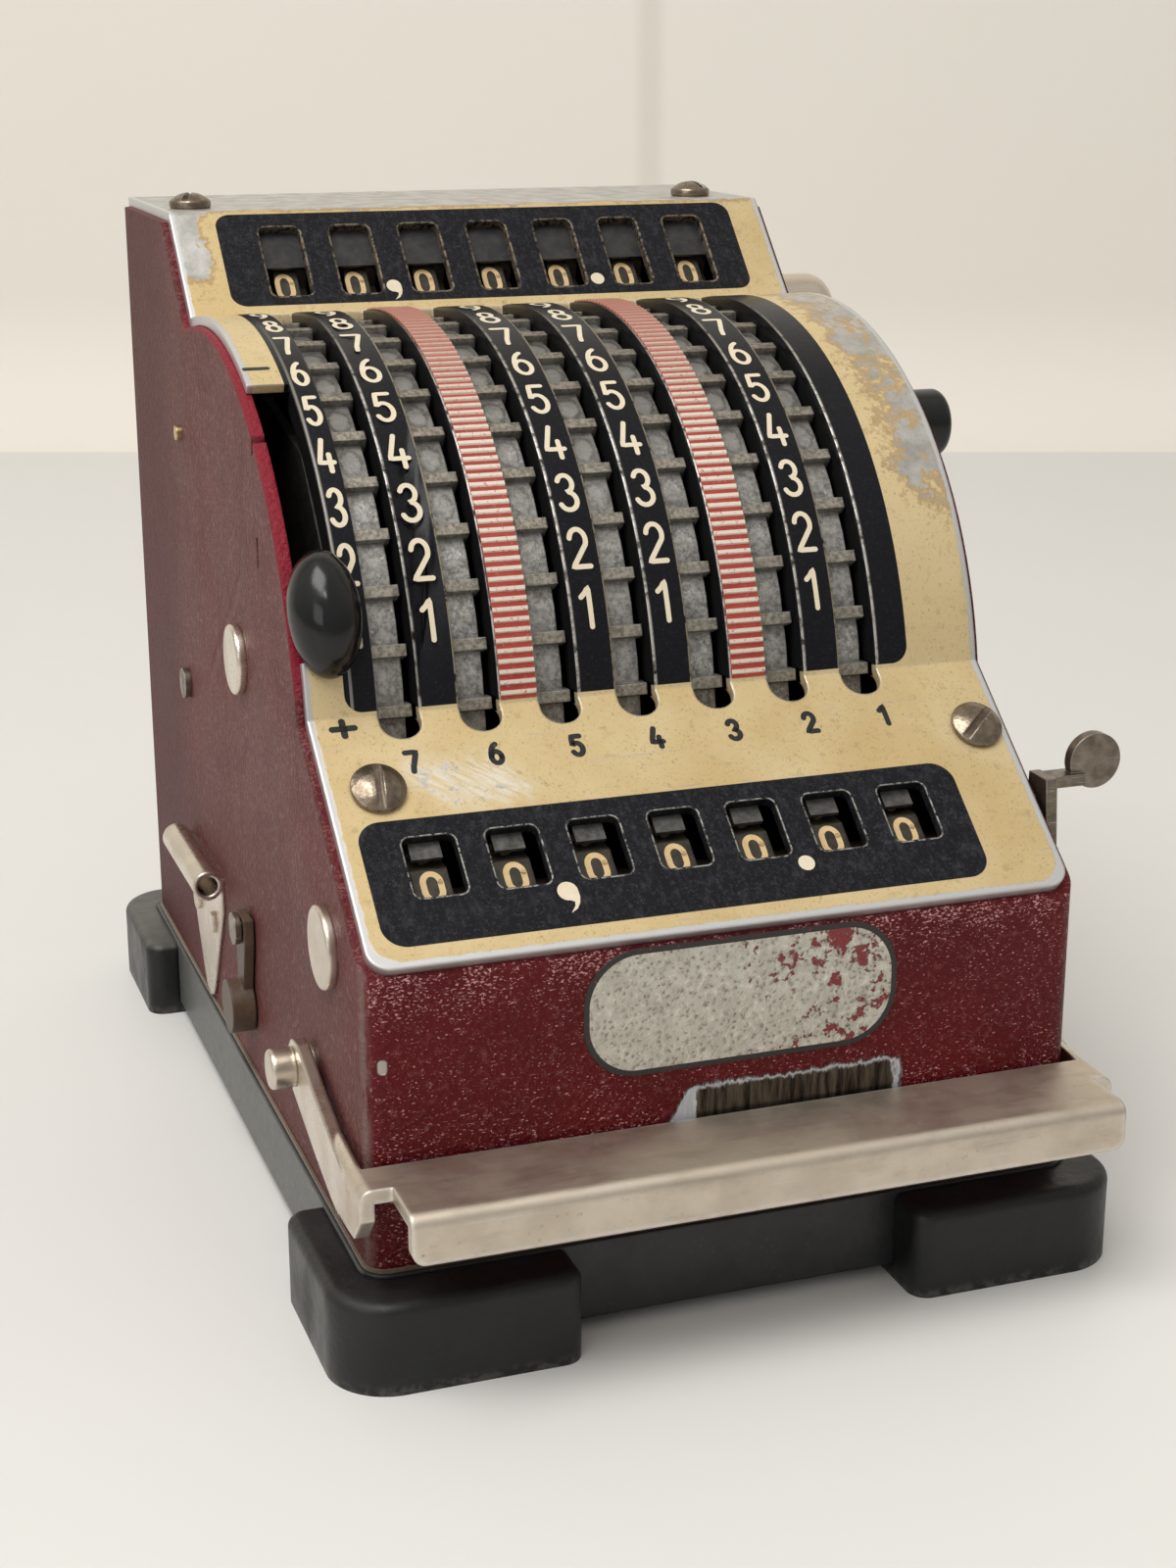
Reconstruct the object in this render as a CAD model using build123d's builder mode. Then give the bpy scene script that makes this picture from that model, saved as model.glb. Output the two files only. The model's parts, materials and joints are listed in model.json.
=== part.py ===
from build123d import *
import math
import os

# Seven-column adding machine worked with a stylus. A pressed cover lies on a sheet
# housing; seven toothed setting wheels show through the slots of its arc, and two rows
# of digit drums show through its windows. Millimetres, +Z up, the front faces -Y. It is
# drawn from the middle of the four feet, and each piece is moved as it is written, so that
# the origin is on the table under the middle of the machine's outline.

# ---------------------------------------------------------------- driving dimensions
columns = 7
pitch = 12.0                 # from one column to the next, along X
first_x = -39.4              # middle of the leftmost slot (column 7)

body_width = 107.6
body_depth = 160.2
wall = 2.0                   # housing sheet
corner_r = 3.0               # housing corners
base_top = 14.0
gasket_t = 0.5

cover_t = 1.6
cover_width = 105.2
arc_y = 11.65                # axis of the arc and of the setting wheels
arc_z = 72.8
arc_r = 61.0                 # outer face of the cover's arc
low_fold_deg = 169.2         # where the arc meets the lower plate
high_fold_deg = 77.0         # where the arc meets the upper face
low_slope = 39.1             # lower plate against the horizontal
high_slope = 45.4            # upper face against the horizontal
top_z = 147.9                # flat top of the cover

slot_w = 6.1
flange_t = 0.8               # edge of each strip, bent down beside the slot
flange_depth = 3.2
notch_end = 4.4              # slots run this far past the fold
knob_slot_low = 161.5        # the slot of the sign knob, degrees on the arc
knob_slot_high = 117.3
strip0_left = -46.2          # right side of the knob's slot

window_w = 7.6               # lower windows, down the lower plate
window_h = 9.7
window_x = -0.7              # from the slot's middle
window_down = 25.8           # from the lower fold to the window's middle
window_corner = 1.2
high_window_w = 6.9          # upper windows, up the upper face
high_window_h = 14.4
high_window_x = 4.5
high_window_up = 11.1

digit_step = 8.4             # degrees of a setting wheel for one digit
digits = 9
drum_sides = 10
rib_tip = 59.3
rim_face = 58.2
rim_inner = 53.5
rib_w = 2.3
rib_first = 160.7            # a rib's angle at rest
shaft_r = 4.0
run = 0.05                   # running clearance of a shaft in a bore
gap = 0.3                    # between parts that move past each other

result_depth = 14.0          # drum axis below the lower plate
result_down = 28.4
result_face = 11.3           # axis to a digit's flat
result_shaft_r = 3.0
control_depth = 15.5
control_up = 8.1
control_face = 12.4
control_shaft_r = 2.0
drum_w = 3.9                 # width of a control drum's number ring
result_w = 5.3               # width of a result drum
gear_t = 1.5

frame_t = 1.5
frame_left = -45.6           # outer face of the left side frame
frame_right = 44.1
bar_t = 2.0                  # front bar and its arms
bar_gap = 1.0                # housing to arm, filled by a spacer
pivot_y = -49.8
pivot_z = 33.0
pivot_pin_r = 2.0

foot_h = 13.6
foot_out = 5.6               # rubber outside the base, at its sides
foot_ahead = 7.9             # rubber before and behind the base
foot_x = 35.0
foot_y = 33.0
foot_pad = 2.2               # rubber below the base

middle_x = 3.725             # middle of the outline, from the middle of the feet
middle_y = -4.1

# ---------------------------------------------------------------- worked out from them
half_w = body_width / 2
half_d = body_depth / 2
housing_z = base_top + gasket_t
inner_w = half_w - wall
slot_left = first_x - slot_w / 2
wheel_left = -slot_w / 2 + 0.05
rim_right = slot_w / 2 - 1.3
rib_right = slot_w / 2 - 0.55
drum_left = rib_right + gap
drum_right = drum_left + drum_w
gear_left = drum_right + gap
gear_right = gear_left + gear_t
gear_ratio = 360 / drum_sides / digit_step
travel = digit_step * digits


def ring(angle, radius):
    """A point on a circle about the arc's axis, as (y, z)."""
    return (arc_y + radius * math.cos(math.radians(angle)),
            arc_z + radius * math.sin(math.radians(angle)))


def along(angle, length):
    """A step of some length at an angle in the Y-Z plane."""
    return (length * math.cos(math.radians(angle)), length * math.sin(math.radians(angle)))


def meet_ring(point, angle, radius, side):
    """Where a line through a point meets the circle about the arc's axis."""
    dy, dz = along(angle, 1)
    py, pz = point[0] - arc_y, point[1] - arc_z
    middle = -(py * dy + pz * dz)
    half = math.sqrt(radius ** 2 - (py ** 2 + pz ** 2 - middle ** 2))
    reach = middle + side * half
    return (point[0] + reach * dy, point[1] + reach * dz)


low_fold = ring(low_fold_deg, arc_r)
high_fold = ring(high_fold_deg, arc_r)
low_in = low_slope - 90      # square into the cover from the lower plate
high_in = high_slope - 90
low_len = (low_fold[0] + half_d) / math.cos(math.radians(low_slope))


def cover_path(depth, front_y=None, rear_y=half_d):
    """Corners of the cover's profile, a depth below its outer face, front to back."""
    step_in = along(low_in, depth)
    start = (low_fold[0] + step_in[0], low_fold[1] + step_in[1])
    fold = meet_ring(start, low_slope, arc_r - depth, -1) if depth else low_fold
    if front_y is None:
        run_down = along(low_slope, -low_len)
        front = (start[0] + run_down[0], start[1] + run_down[1])
    else:
        drop = (front_y - start[0]) * math.tan(math.radians(low_slope))
        front = (front_y, start[1] + drop)
    step_in = along(high_in, depth)
    start = (high_fold[0] + step_in[0], high_fold[1] + step_in[1])
    fold_2 = meet_ring(start, high_slope, arc_r - depth, 1) if depth else high_fold
    rise = (top_z - depth - start[1]) / math.tan(math.radians(high_slope))
    bend = (start[0] + rise, top_z - depth)
    return [front, fold, ring(125, arc_r - depth), fold_2, bend, (rear_y, top_z - depth)]


def draw_path(points, back=False):
    """Lines and the arc of a cover profile, drawn in the open sketch."""
    front, fold, middle, fold_2, bend, rear = points
    Line(front, fold)
    ThreePointArc(fold, middle, fold_2)
    Line(fold_2, bend)
    Line(bend, rear)


def column_x(number):
    """Middle of a column's slot; column 7 is the leftmost."""
    return first_x + (columns - number) * pitch


def sector_points(inner, outer, low, high):
    """Corners of a ring's sector about the arc's axis."""
    middle = (low + high) / 2
    return (ring(low, inner), ring(low, outer), ring(middle, outer), ring(high, outer),
            ring(high, inner), ring(middle, inner))


def draw_sector(inner, outer, low, high):
    """A ring's sector about the arc's axis, in the open sketch."""
    a, b, c, d, e, f = sector_points(inner, outer, low, high)
    make_face([Edge.make_line(a, b), Edge.make_three_point_arc(b, c, d),
               Edge.make_line(d, e), Edge.make_three_point_arc(e, f, a)])


def finish(piece, name):
    """Names a piece and writes its file."""
    piece.part.label = name
    placed = piece.part.moved(Location((-middle_x, -middle_y, 0)))
    placed.label = name
    export_step(placed, "parts/" + name + ".step")


os.makedirs("parts", exist_ok=True)

# planes of the two flat faces of the cover: local x is X, local y runs up the slope
low_plane = Plane(origin=(0, low_fold[0], low_fold[1]), x_dir=(1, 0, 0),
                  z_dir=(0, -math.sin(math.radians(low_slope)), math.cos(math.radians(low_slope))))
high_plane = Plane(origin=(0, high_fold[0], high_fold[1]), x_dir=(1, 0, 0),
                   z_dir=(0, -math.sin(math.radians(high_slope)), math.cos(math.radians(high_slope))))
window_xs = [column_x(n) + window_x for n in range(1, columns + 1)]
high_window_xs = [column_x(n) + high_window_x for n in range(1, columns + 1)]
front_screws = [(-45.2, -12.6), (47.9, -12.2)]
front_screw_r = 1.8
top_screws = [(-47.2, 50.0), (43.8, 50.0)]
top_screw_r = 1.4
strip_edges = [column_x(n) + slot_w / 2 for n in range(1, columns + 1)] + [strip0_left]

# ---------------------------------------------------------------- cover plate
with BuildPart() as cover_plate:
    with BuildSketch(Plane.YZ):
        with BuildLine():
            outer = cover_path(0)
            inner = cover_path(cover_t)
            draw_path(outer)
            Line(outer[-1], inner[-1])
            draw_path(inner)
            Line(inner[0], outer[0])
        make_face()
    extrude(amount=cover_width / 2, both=True)
    bend_edges = cover_plate.edges().filter_by(Axis.X)
    fillet(bend_edges.sort_by(lambda e: (e.center() - Vector(0, outer[4][0], outer[4][1])).length)[0],
           radius=1.5)
    # slots of the seven columns and of the sign knob, cut through the arc
    with BuildSketch(Plane.YZ.offset(-cover_width / 2 - 1)):
        draw_sector(arc_r - 4 * cover_t, arc_r + 1, knob_slot_high, knob_slot_low)
    extrude(amount=strip0_left + cover_width / 2 + 1, mode=Mode.SUBTRACT)
    for n in range(1, columns + 1):
        with BuildSketch(Plane.YZ.offset(column_x(n) - slot_w / 2)):
            draw_sector(arc_r - 4 * cover_t, arc_r + 1, high_fold_deg + 1.2, low_fold_deg + 1)
        extrude(amount=slot_w, mode=Mode.SUBTRACT)
    with BuildSketch(low_plane.offset(1)):
        with Locations(*[(column_x(n), -notch_end / 2 + 0.8) for n in range(1, columns + 1)]):
            RectangleRounded(slot_w, notch_end + 1.6, slot_w / 2 - 0.1)
    extrude(amount=-cover_t - 3, mode=Mode.SUBTRACT)
    # windows
    with BuildSketch(low_plane.offset(1)):
        with Locations(*[(x, -window_down) for x in window_xs]):
            RectangleRounded(window_w, window_h, window_corner)
        with Locations(*front_screws):
            Circle(front_screw_r + gap)
    extrude(amount=-cover_t - 2, mode=Mode.SUBTRACT)
    with BuildSketch(high_plane.offset(1)):
        with Locations(*[(x, high_window_up) for x in high_window_xs]):
            RectangleRounded(high_window_w, high_window_h, window_corner)
    extrude(amount=-cover_t - 2, mode=Mode.SUBTRACT)
    with BuildSketch(Plane.XY.offset(top_z + 1)):
        with Locations(*top_screws):
            Circle(top_screw_r + gap)
    extrude(amount=-cover_t - 2, mode=Mode.SUBTRACT)
    # strip edges bent down beside the slots
    for edge in strip_edges:
        low_end = knob_slot_low if edge == strip0_left else low_fold_deg - 0.8
        high_end = knob_slot_high if edge == strip0_left else high_fold_deg + 4
        with BuildSketch(Plane.YZ.offset(edge)):
            draw_sector(arc_r - cover_t - flange_depth, arc_r - cover_t / 2, high_end, low_end)
        extrude(amount=flange_t)
    # rounded front corners
    front_ends = cover_plate.edges().filter_by(lambda e: abs(e.length - cover_t) < 0.01).sort_by(Axis.Y)[0:2]
    fillet(front_ends, radius=3.2)
finish(cover_plate, "cover_plate")

# ---------------------------------------------------------------- housing
result_at = along(low_slope, -result_down)
result_in = along(low_in, result_depth)
result_y = low_fold[0] + result_at[0] + result_in[0]
result_z = low_fold[1] + result_at[1] + result_in[1]
control_at = along(high_slope, control_up)
control_in = along(high_in, control_depth)
control_y = high_fold[0] + control_at[0] + control_in[0]
control_z = high_fold[1] + control_at[1] + control_in[1]
control_reach = math.hypot(control_y - arc_y, control_z - arc_z)
control_deg = math.degrees(math.atan2(control_z - arc_z, control_y - arc_y))
stud_at = (-8.9, 84.0)               # stud with a large head on the left wall
stud_r = 2.5
stud_head_r = 5.5
side_screw_at = (36.0, 69.0)
side_screw_r = 1.6
guide_pin_at = (33.0, 112.7)
guide_pin_r = 1.2
slits = [(-24.0, 120.5), (-25.0, 103.6)]
slit_w = 1.1
slit_h = 5.0
knob_at = (-16.5, 115.7)             # black knob on the right wall
bell_at = (control_y, control_z)     # nickel knob on the right wall
spindle_r = 2.5
lever_at = (-66.0, 47.0)             # pivot of the right lever
tab_at = (-9.0, 40.0)                # pivot of the left lever
lever_pin_r = 1.6
clip_rivets = [(19.0, 31.0), (32.0, 31.0)]
clip_rivet_r = 1.2
lug_t = 2.0

with BuildPart() as housing:
    with BuildSketch(Plane.YZ):
        with BuildLine():
            rim = cover_path(cover_t, front_y=-half_d)
            draw_path(rim)
            Line(rim[-1], (half_d, housing_z))
            Line((half_d, housing_z), (-half_d, housing_z))
            Line((-half_d, housing_z), rim[0])
        make_face()
    extrude(amount=half_w, both=True)
    fillet(housing.edges().filter_by(Axis.Z), radius=corner_r)
    with BuildSketch(Plane.XY.offset(housing_z - 1)):
        RectangleRounded(body_width - 2 * wall, body_depth - 2 * wall, corner_r - wall)
    extrude(amount=top_z, mode=Mode.SUBTRACT)
    # lugs bent in from the walls, which take the cover's screws
    with BuildSketch(low_plane.offset(-cover_t - gap)):
        for x, s in front_screws:
            side = -1 if x < 0 else 1
            with Locations((side * (inner_w + wall / 2 + abs(x) - 3.2) / 2, s)):
                Rectangle(inner_w + wall / 2 - abs(x) + 3.2, 9)
    extrude(amount=-lug_t)
    with BuildSketch(Plane.XY.offset(top_z - cover_t - gap)):
        for x, y in top_screws:
            side = -1 if x < 0 else 1
            with Locations((side * (inner_w + wall / 2 + abs(x) - 3.2) / 2, y)):
                Rectangle(inner_w + wall / 2 - abs(x) + 3.2, 9)
    extrude(amount=-lug_t)
    with BuildSketch(low_plane):
        with Locations(*front_screws):
            Circle(front_screw_r + 2 * run)
    extrude(amount=-12, mode=Mode.SUBTRACT)
    with BuildSketch(Plane.XY.offset(top_z)):
        with Locations(*top_screws):
            Circle(top_screw_r + 2 * run)
    extrude(amount=-12, mode=Mode.SUBTRACT)
    # holes of the left wall
    with BuildSketch(Plane.YZ.offset(-half_w - 1)):
        with Locations((result_y, result_z)):
            Circle(result_shaft_r + run)
        with Locations(stud_at):
            Circle(stud_r + run)
        with Locations(side_screw_at):
            Circle(side_screw_r + run)
        with Locations(guide_pin_at):
            Circle(guide_pin_r + run)
        with Locations(tab_at):
            Circle(lever_pin_r + run)
        with Locations(*clip_rivets):
            Circle(clip_rivet_r + run)
        with Locations(*slits):
            Rectangle(slit_w, slit_h)
        with Locations((pivot_y, pivot_z)):
            Circle(pivot_pin_r + run)
    extrude(amount=wall + 2, mode=Mode.SUBTRACT)
    # holes of the right wall
    with BuildSketch(Plane.YZ.offset(inner_w - 1)):
        with Locations(knob_at, bell_at):
            Circle(spindle_r + run)
        with Locations(lever_at):
            Circle(lever_pin_r + run)
        with Locations((pivot_y, pivot_z)):
            Circle(pivot_pin_r + run)
    extrude(amount=wall + 2, mode=Mode.SUBTRACT)
finish(housing, "housing")


def rod(start, end, radius, at, mode=Mode.ADD):
    """A round rod along X in the open part, from one x to another, at (y, z)."""
    with Locations((start, at[0], at[1])):
        Cylinder(radius, end - start, rotation=(0, 90, 0),
                 align=(Align.CENTER, Align.CENTER, Align.MIN), mode=mode)


def bore(start, end, radius, at):
    """A round hole along X in the open part."""
    rod(start, end, radius, at, mode=Mode.SUBTRACT)


axis_at = (arc_y, arc_z)
result_axis = (result_y, result_z)
control_axis = (control_y, control_z)
gear_pitch_r = control_reach * gear_ratio / (1 + gear_ratio)
pinion_pitch_r = control_reach / (1 + gear_ratio)
tooth_out = 1.5              # tooth above the pitch circle
tooth_in = 1.9               # and below it
tooth_half = 1.45            # half a tooth's width on the pitch circle
tooth_tip = 0.8
hub_r = 7.5
web_t = 2.0


def tooth_points(pitch_r, angle, center):
    """Corners of one gear tooth on a pitch circle, as (y, z)."""
    shape = [(pitch_r - tooth_in - 0.6, -tooth_half - 0.5), (pitch_r, -tooth_half),
             (pitch_r + tooth_out, -tooth_tip), (pitch_r + tooth_out, tooth_tip),
             (pitch_r, tooth_half), (pitch_r - tooth_in - 0.6, tooth_half + 0.5)]
    c = math.cos(math.radians(angle))
    s = math.sin(math.radians(angle))
    return [(center[0] + u * c - v * s, center[1] + u * s + v * c) for u, v in shape]


# ---------------------------------------------------------------- setting wheels
rim_steps = [rib_first + digit_step * (i - 18.5) for i in range(0, 22)]
rib_angles = [rib_first + digit_step * (i - 18) for i in range(0, 20)]
gear_angles = [control_deg + digit_step * i for i in range(-10, 2)]
for n in range(1, columns + 1):
    x = column_x(n)
    with BuildPart() as setting_wheel:
        # toothed rim: flats between ribs
        with BuildSketch(Plane.YZ.offset(x + wheel_left)):
            with BuildLine():
                outer_pts = [ring(a, rim_face) for a in rim_steps]
                Polyline(*outer_pts)
                Line(outer_pts[-1], ring(rim_steps[-1], rim_inner))
                ThreePointArc(ring(rim_steps[-1], rim_inner), ring(rim_steps[10], rim_inner),
                              ring(rim_steps[0], rim_inner))
                Line(ring(rim_steps[0], rim_inner), outer_pts[0])
            make_face()
        extrude(amount=rim_right - wheel_left)
        with BuildSketch(Plane.YZ.offset(x + wheel_left)):
            for a in rib_angles:
                with BuildLine():
                    c, s = along(a, 1)
                    Polyline(*[(arc_y + u * c - v * s, arc_z + u * s + v * c) for u, v in
                               [(rim_face - 1.5, -rib_w / 2), (rib_tip, -rib_w / 2 + 0.3),
                                (rib_tip, rib_w / 2 - 0.3), (rim_face - 1.5, rib_w / 2)]], close=True)
                make_face()
        extrude(amount=rib_right - wheel_left)
        # web, hub and gear segment
        with BuildSketch(Plane.YZ.offset(x + wheel_left)):
            with Locations(axis_at):
                Circle(rim_inner + 0.5)
        extrude(amount=web_t)
        rod(x + wheel_left, x + gear_right, hub_r, axis_at)
        with BuildSketch(Plane.YZ.offset(x + gear_left)):
            low, high = gear_angles[0] - digit_step / 2, gear_angles[-1] + digit_step / 2
            draw_sector(hub_r - 1, gear_pitch_r - tooth_in, low, high)
            for a in gear_angles:
                with BuildLine():
                    Polyline(*tooth_points(gear_pitch_r, a, axis_at), close=True)
                make_face()
        extrude(amount=gear_t)
        bore(x + wheel_left - 1, x + gear_right + 1, shaft_r + run, axis_at)
    finish(setting_wheel, "setting_wheel_" + str(n))

# ---------------------------------------------------------------- control drums
for n in range(1, columns + 1):
    x = column_x(n)
    with BuildPart() as control_drum:
        with BuildSketch(Plane.YZ.offset(x + drum_left)):
            with Locations(Location(control_axis, high_slope + 90 + 180 / drum_sides)):
                RegularPolygon(control_face, drum_sides, major_radius=False)
        extrude(amount=drum_w)
        with BuildSketch(Plane.YZ.offset(x + drum_right)):
            with Locations(control_axis):
                Circle(pinion_pitch_r - tooth_in)
            for i in range(drum_sides):
                a = control_deg + 180 + 180 / drum_sides + i * 360 / drum_sides
                with BuildLine():
                    Polyline(*tooth_points(pinion_pitch_r, a, control_axis), close=True)
                make_face()
        extrude(amount=gear_right - drum_right)
        bore(x + drum_left - 1, x + gear_right + 1, control_shaft_r + run, control_axis)
    finish(control_drum, "control_drum_" + str(n))

# ---------------------------------------------------------------- result drums
result_left = -3.6
for n in range(1, columns + 1):
    x = column_x(n)
    with BuildPart() as result_drum:
        with BuildSketch(Plane.YZ.offset(x + result_left)):
            with Locations(Location(result_axis, low_slope + 90 + 180 / drum_sides)):
                RegularPolygon(result_face, drum_sides, major_radius=False)
        extrude(amount=result_w)
        rod(x + result_left, x + result_left + pitch - gap, 2 * result_shaft_r, result_axis)
        bore(x + result_left - 1, x + pitch, result_shaft_r + run, result_axis)
    finish(result_drum, "result_drum_" + str(n))

# ---------------------------------------------------------------- frames, shafts, rods
tie_rods = [(-60.0, 30.0), (70.0, 30.0), (66.0, 118.0)]
tie_rod_r = 2.5
frame_outline = [(-70, base_top), (74, base_top), (74, 122), (66, 126), (50, 135), (41, 133),
                 ring(78, 54), ring(125, 54), ring(150, 54), ring(165, 54),
                 (-60, 62), (-70, 56)]
for label, left in (("side_frame_left", frame_left), ("side_frame_right", frame_right - frame_t)):
    with BuildPart() as side_frame:
        with BuildSketch(Plane.YZ.offset(left)) as outline:
            with BuildLine():
                Polyline(*frame_outline, close=True)
            make_face()
            fillet(outline.vertices().filter_by_position(Axis.Y, 60, 150), radius=3)
        extrude(amount=frame_t)
        bore(left - 1, left + frame_t + 1, shaft_r + run, axis_at)
        bore(left - 1, left + frame_t + 1, result_shaft_r + run, result_axis)
        bore(left - 1, left + frame_t + 1, control_shaft_r + run, control_axis)
        for rod_at in tie_rods:
            bore(left - 1, left + frame_t + 1, tie_rod_r + run, rod_at)
        if left > 0:
            bore(left - 1, left + frame_t + 1, spindle_r + run, knob_at)
    finish(side_frame, label)

with BuildPart() as frame_tie_rods:
    for rod_at in tie_rods:
        rod(frame_left - 1.4, frame_right + 1.4, tie_rod_r, rod_at)
finish(frame_tie_rods, "frame_tie_rods")

with BuildPart() as main_shaft:
    rod(-inner_w + gap, frame_right + 1, shaft_r, axis_at)
finish(main_shaft, "main_shaft")

head_t = 1.6
with BuildPart() as result_shaft:
    rod(-half_w, frame_right + 1, result_shaft_r, result_axis)
    rod(-half_w - head_t, -half_w, 6.0, result_axis)
    fillet(result_shaft.faces().sort_by(Axis.X)[0].edges(), radius=0.5)
finish(result_shaft, "result_shaft")

with BuildPart() as control_shaft:
    rod(frame_left - 1, frame_right + 1, control_shaft_r, control_axis)
finish(control_shaft, "control_shaft")

# ---------------------------------------------------------------- sign selector
arm_x = -48.7
arm_t = 2.4
arm_w = 7.0
knob_deg = 155.3
knob_len, knob_wide, knob_high = 18.5, 10.5, 6.5
knob_under = 0.5             # knob above the cover
arm_dir = along(knob_deg, 1)


def on_arm(reach, across):
    """A point on the selector's arm, as (y, z)."""
    return (arc_y + reach * arm_dir[0] - across * arm_dir[1],
            arc_z + reach * arm_dir[1] + across * arm_dir[0])


with BuildPart() as selector_arm:
    with BuildSketch(Plane.YZ.offset(arm_x - arm_t / 2)):
        with BuildLine():
            Polyline(on_arm(4, -arm_w / 2), on_arm(arc_r + 3.2, -arm_w / 2),
                     on_arm(arc_r + 3.2, arm_w / 2), on_arm(4, arm_w / 2), close=True)
        make_face()
        with Locations(axis_at):
            Circle(hub_r)
    extrude(amount=arm_t)
    rod(-inner_w + 0.6, frame_left - 0.4, hub_r, axis_at)
    bore(-inner_w, frame_left + 1, shaft_r + run, axis_at)
finish(selector_arm, "selector_arm")

knob_base = Plane(origin=(arm_x, *on_arm(arc_r + knob_under, 0)), x_dir=(1, 0, 0),
                  z_dir=(0, arm_dir[0], arm_dir[1]))
with BuildPart() as dome:
    Sphere(1)
    scale(by=(knob_wide / 2, knob_len / 2, knob_high))
with BuildPart() as selector_knob:
    add(knob_base.location * dome.part)
    with BuildSketch(Plane.YZ.offset(arm_x - knob_wide)):
        with Locations(axis_at):
            Circle(arc_r + knob_under)
    extrude(amount=2 * knob_wide, mode=Mode.SUBTRACT)
    with BuildSketch(Plane.YZ.offset(arm_x - arm_t / 2 - 2 * run)):
        with BuildLine():
            Polyline(on_arm(arc_r, -arm_w / 2 - 2 * run), on_arm(arc_r + 3.2 + gap, -arm_w / 2 - 2 * run),
                     on_arm(arc_r + 3.2 + gap, arm_w / 2 + 2 * run), on_arm(arc_r, arm_w / 2 + 2 * run),
                     close=True)
        make_face()
    extrude(amount=arm_t + 4 * run, mode=Mode.SUBTRACT)
finish(selector_knob, "selector_knob")

# ---------------------------------------------------------------- front bar
bar_front = -97.2
bar_rear = -80.9
bar_top = 30.5
lip_bottom = 23.5
bar_in = half_w + bar_gap
bar_out = bar_in + bar_t
with BuildPart() as clear_bar:
    with BuildSketch(Plane.YZ.offset(-bar_in)) as arm_outline:
        with BuildLine():
            Polyline((pivot_y + 3.4, pivot_z - 1.5), (pivot_y + 1, pivot_z - 4), (-62, 24.5), (-74, 21.2),
                     (-84, 22.0), (-87.6, 26.0), (-87.6, bar_top - bar_t), (-84, bar_top),
                     (-80, bar_top), (-70, 31.4), (-60, 34.3), (-52, 37.2), (pivot_y + 1, 36.9),
                     (pivot_y + 3.4, 34.5), close=True)
        make_face()
    extrude(amount=-bar_t)
    mirror(about=Plane.YZ)
    with BuildSketch(Plane.XY.offset(bar_top - bar_t)):
        with Locations((0, (bar_rear - 87.6) / 2)):
            Rectangle(2 * bar_out, 87.6 + bar_rear)
        with Locations((0.6, (bar_front + bar_rear) / 2)):
            Rectangle(105.8, bar_rear - bar_front)
    extrude(amount=bar_t)
    with BuildSketch(Plane.XZ.offset(-bar_front)):
        with Locations((0.6, (bar_top + lip_bottom) / 2)):
            RectangleRounded(105.8, bar_top - lip_bottom, 1.9)
        with Locations((0.6, bar_top - 1.5)):
            Rectangle(105.8, 3)
    extrude(amount=-bar_t)
    along_x = clear_bar.edges().filter_by(Axis.X)
    top_bend = along_x.filter_by_position(Axis.Y, bar_front - 0.1, bar_front + 0.1)
    fillet(top_bend.sort_by(Axis.Z)[-1], radius=1.8)
    side_bend = clear_bar.edges().filter_by(Axis.Y).filter_by_position(Axis.Z, bar_top - 0.1, bar_top + 0.1)
    fillet(side_bend.filter_by_position(Axis.X, bar_out - 0.1, bar_out + 0.1), radius=1.8)
    side_bend = clear_bar.edges().filter_by(Axis.Y).filter_by_position(Axis.Z, bar_top - 0.1, bar_top + 0.1)
    fillet(side_bend.filter_by_position(Axis.X, -bar_out - 0.1, -bar_out + 0.1), radius=1.8)
    bore(-bar_out - 1, bar_out + 1, pivot_pin_r + run, (pivot_y, pivot_z))
finish(clear_bar, "clear_bar")

pin_head_r = 3.0
with BuildPart() as bar_pivot_pins:
    rod(inner_w - 1.4, bar_out + run, pivot_pin_r, (pivot_y, pivot_z))
    rod(bar_out + run, bar_out + 3.7, pin_head_r, (pivot_y, pivot_z))
    fillet(bar_pivot_pins.faces().sort_by(Axis.X)[-1].edges(), radius=0.6)
    mirror(about=Plane.YZ)
finish(bar_pivot_pins, "bar_pivot_pins")

with BuildPart() as bar_spacers:
    rod(half_w, bar_in - run, 3.3, (pivot_y, pivot_z))
    bore(half_w - 1, bar_in + 1, pivot_pin_r + run, (pivot_y, pivot_z))
    mirror(about=Plane.YZ)
finish(bar_spacers, "bar_spacers")

# ---------------------------------------------------------------- right lever and knobs
lever_x = half_w + 0.7
lever_t = 1.8
lever_tip = (-65.6, 70.4)
with BuildPart() as right_lever:
    with BuildSketch(Plane.YZ.offset(lever_x)):
        with BuildLine():
            Polyline((lever_at[0] - 4.2, lever_at[1] + 1), (lever_at[0] - 3, lever_at[1] - 3.4),
                     (lever_at[0] + 3, lever_at[1] - 3.4), (lever_at[0] + 4.2, lever_at[1] + 1),
                     (lever_tip[0] + 2.6, lever_tip[1]), (lever_tip[0] - 2.6, lever_tip[1]), close=True)
        make_face()
    extrude(amount=lever_t)
    with BuildSketch(Plane.XY.offset(lever_tip[1] - lever_t)):
        with Locations((lever_x + 3.6, lever_tip[0])):
            Rectangle(7.2, 3.6)
    extrude(amount=lever_t)
    with BuildSketch(Plane.XZ.offset(-lever_tip[0] + 0.9)):
        with Locations((lever_x + 9.2, lever_tip[1] + 1.6)):
            Circle(4.25)
    extrude(amount=-lever_t)
    bore(half_w, lever_x + lever_t + 1, lever_pin_r + run, lever_at)
finish(right_lever, "right_lever")

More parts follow.
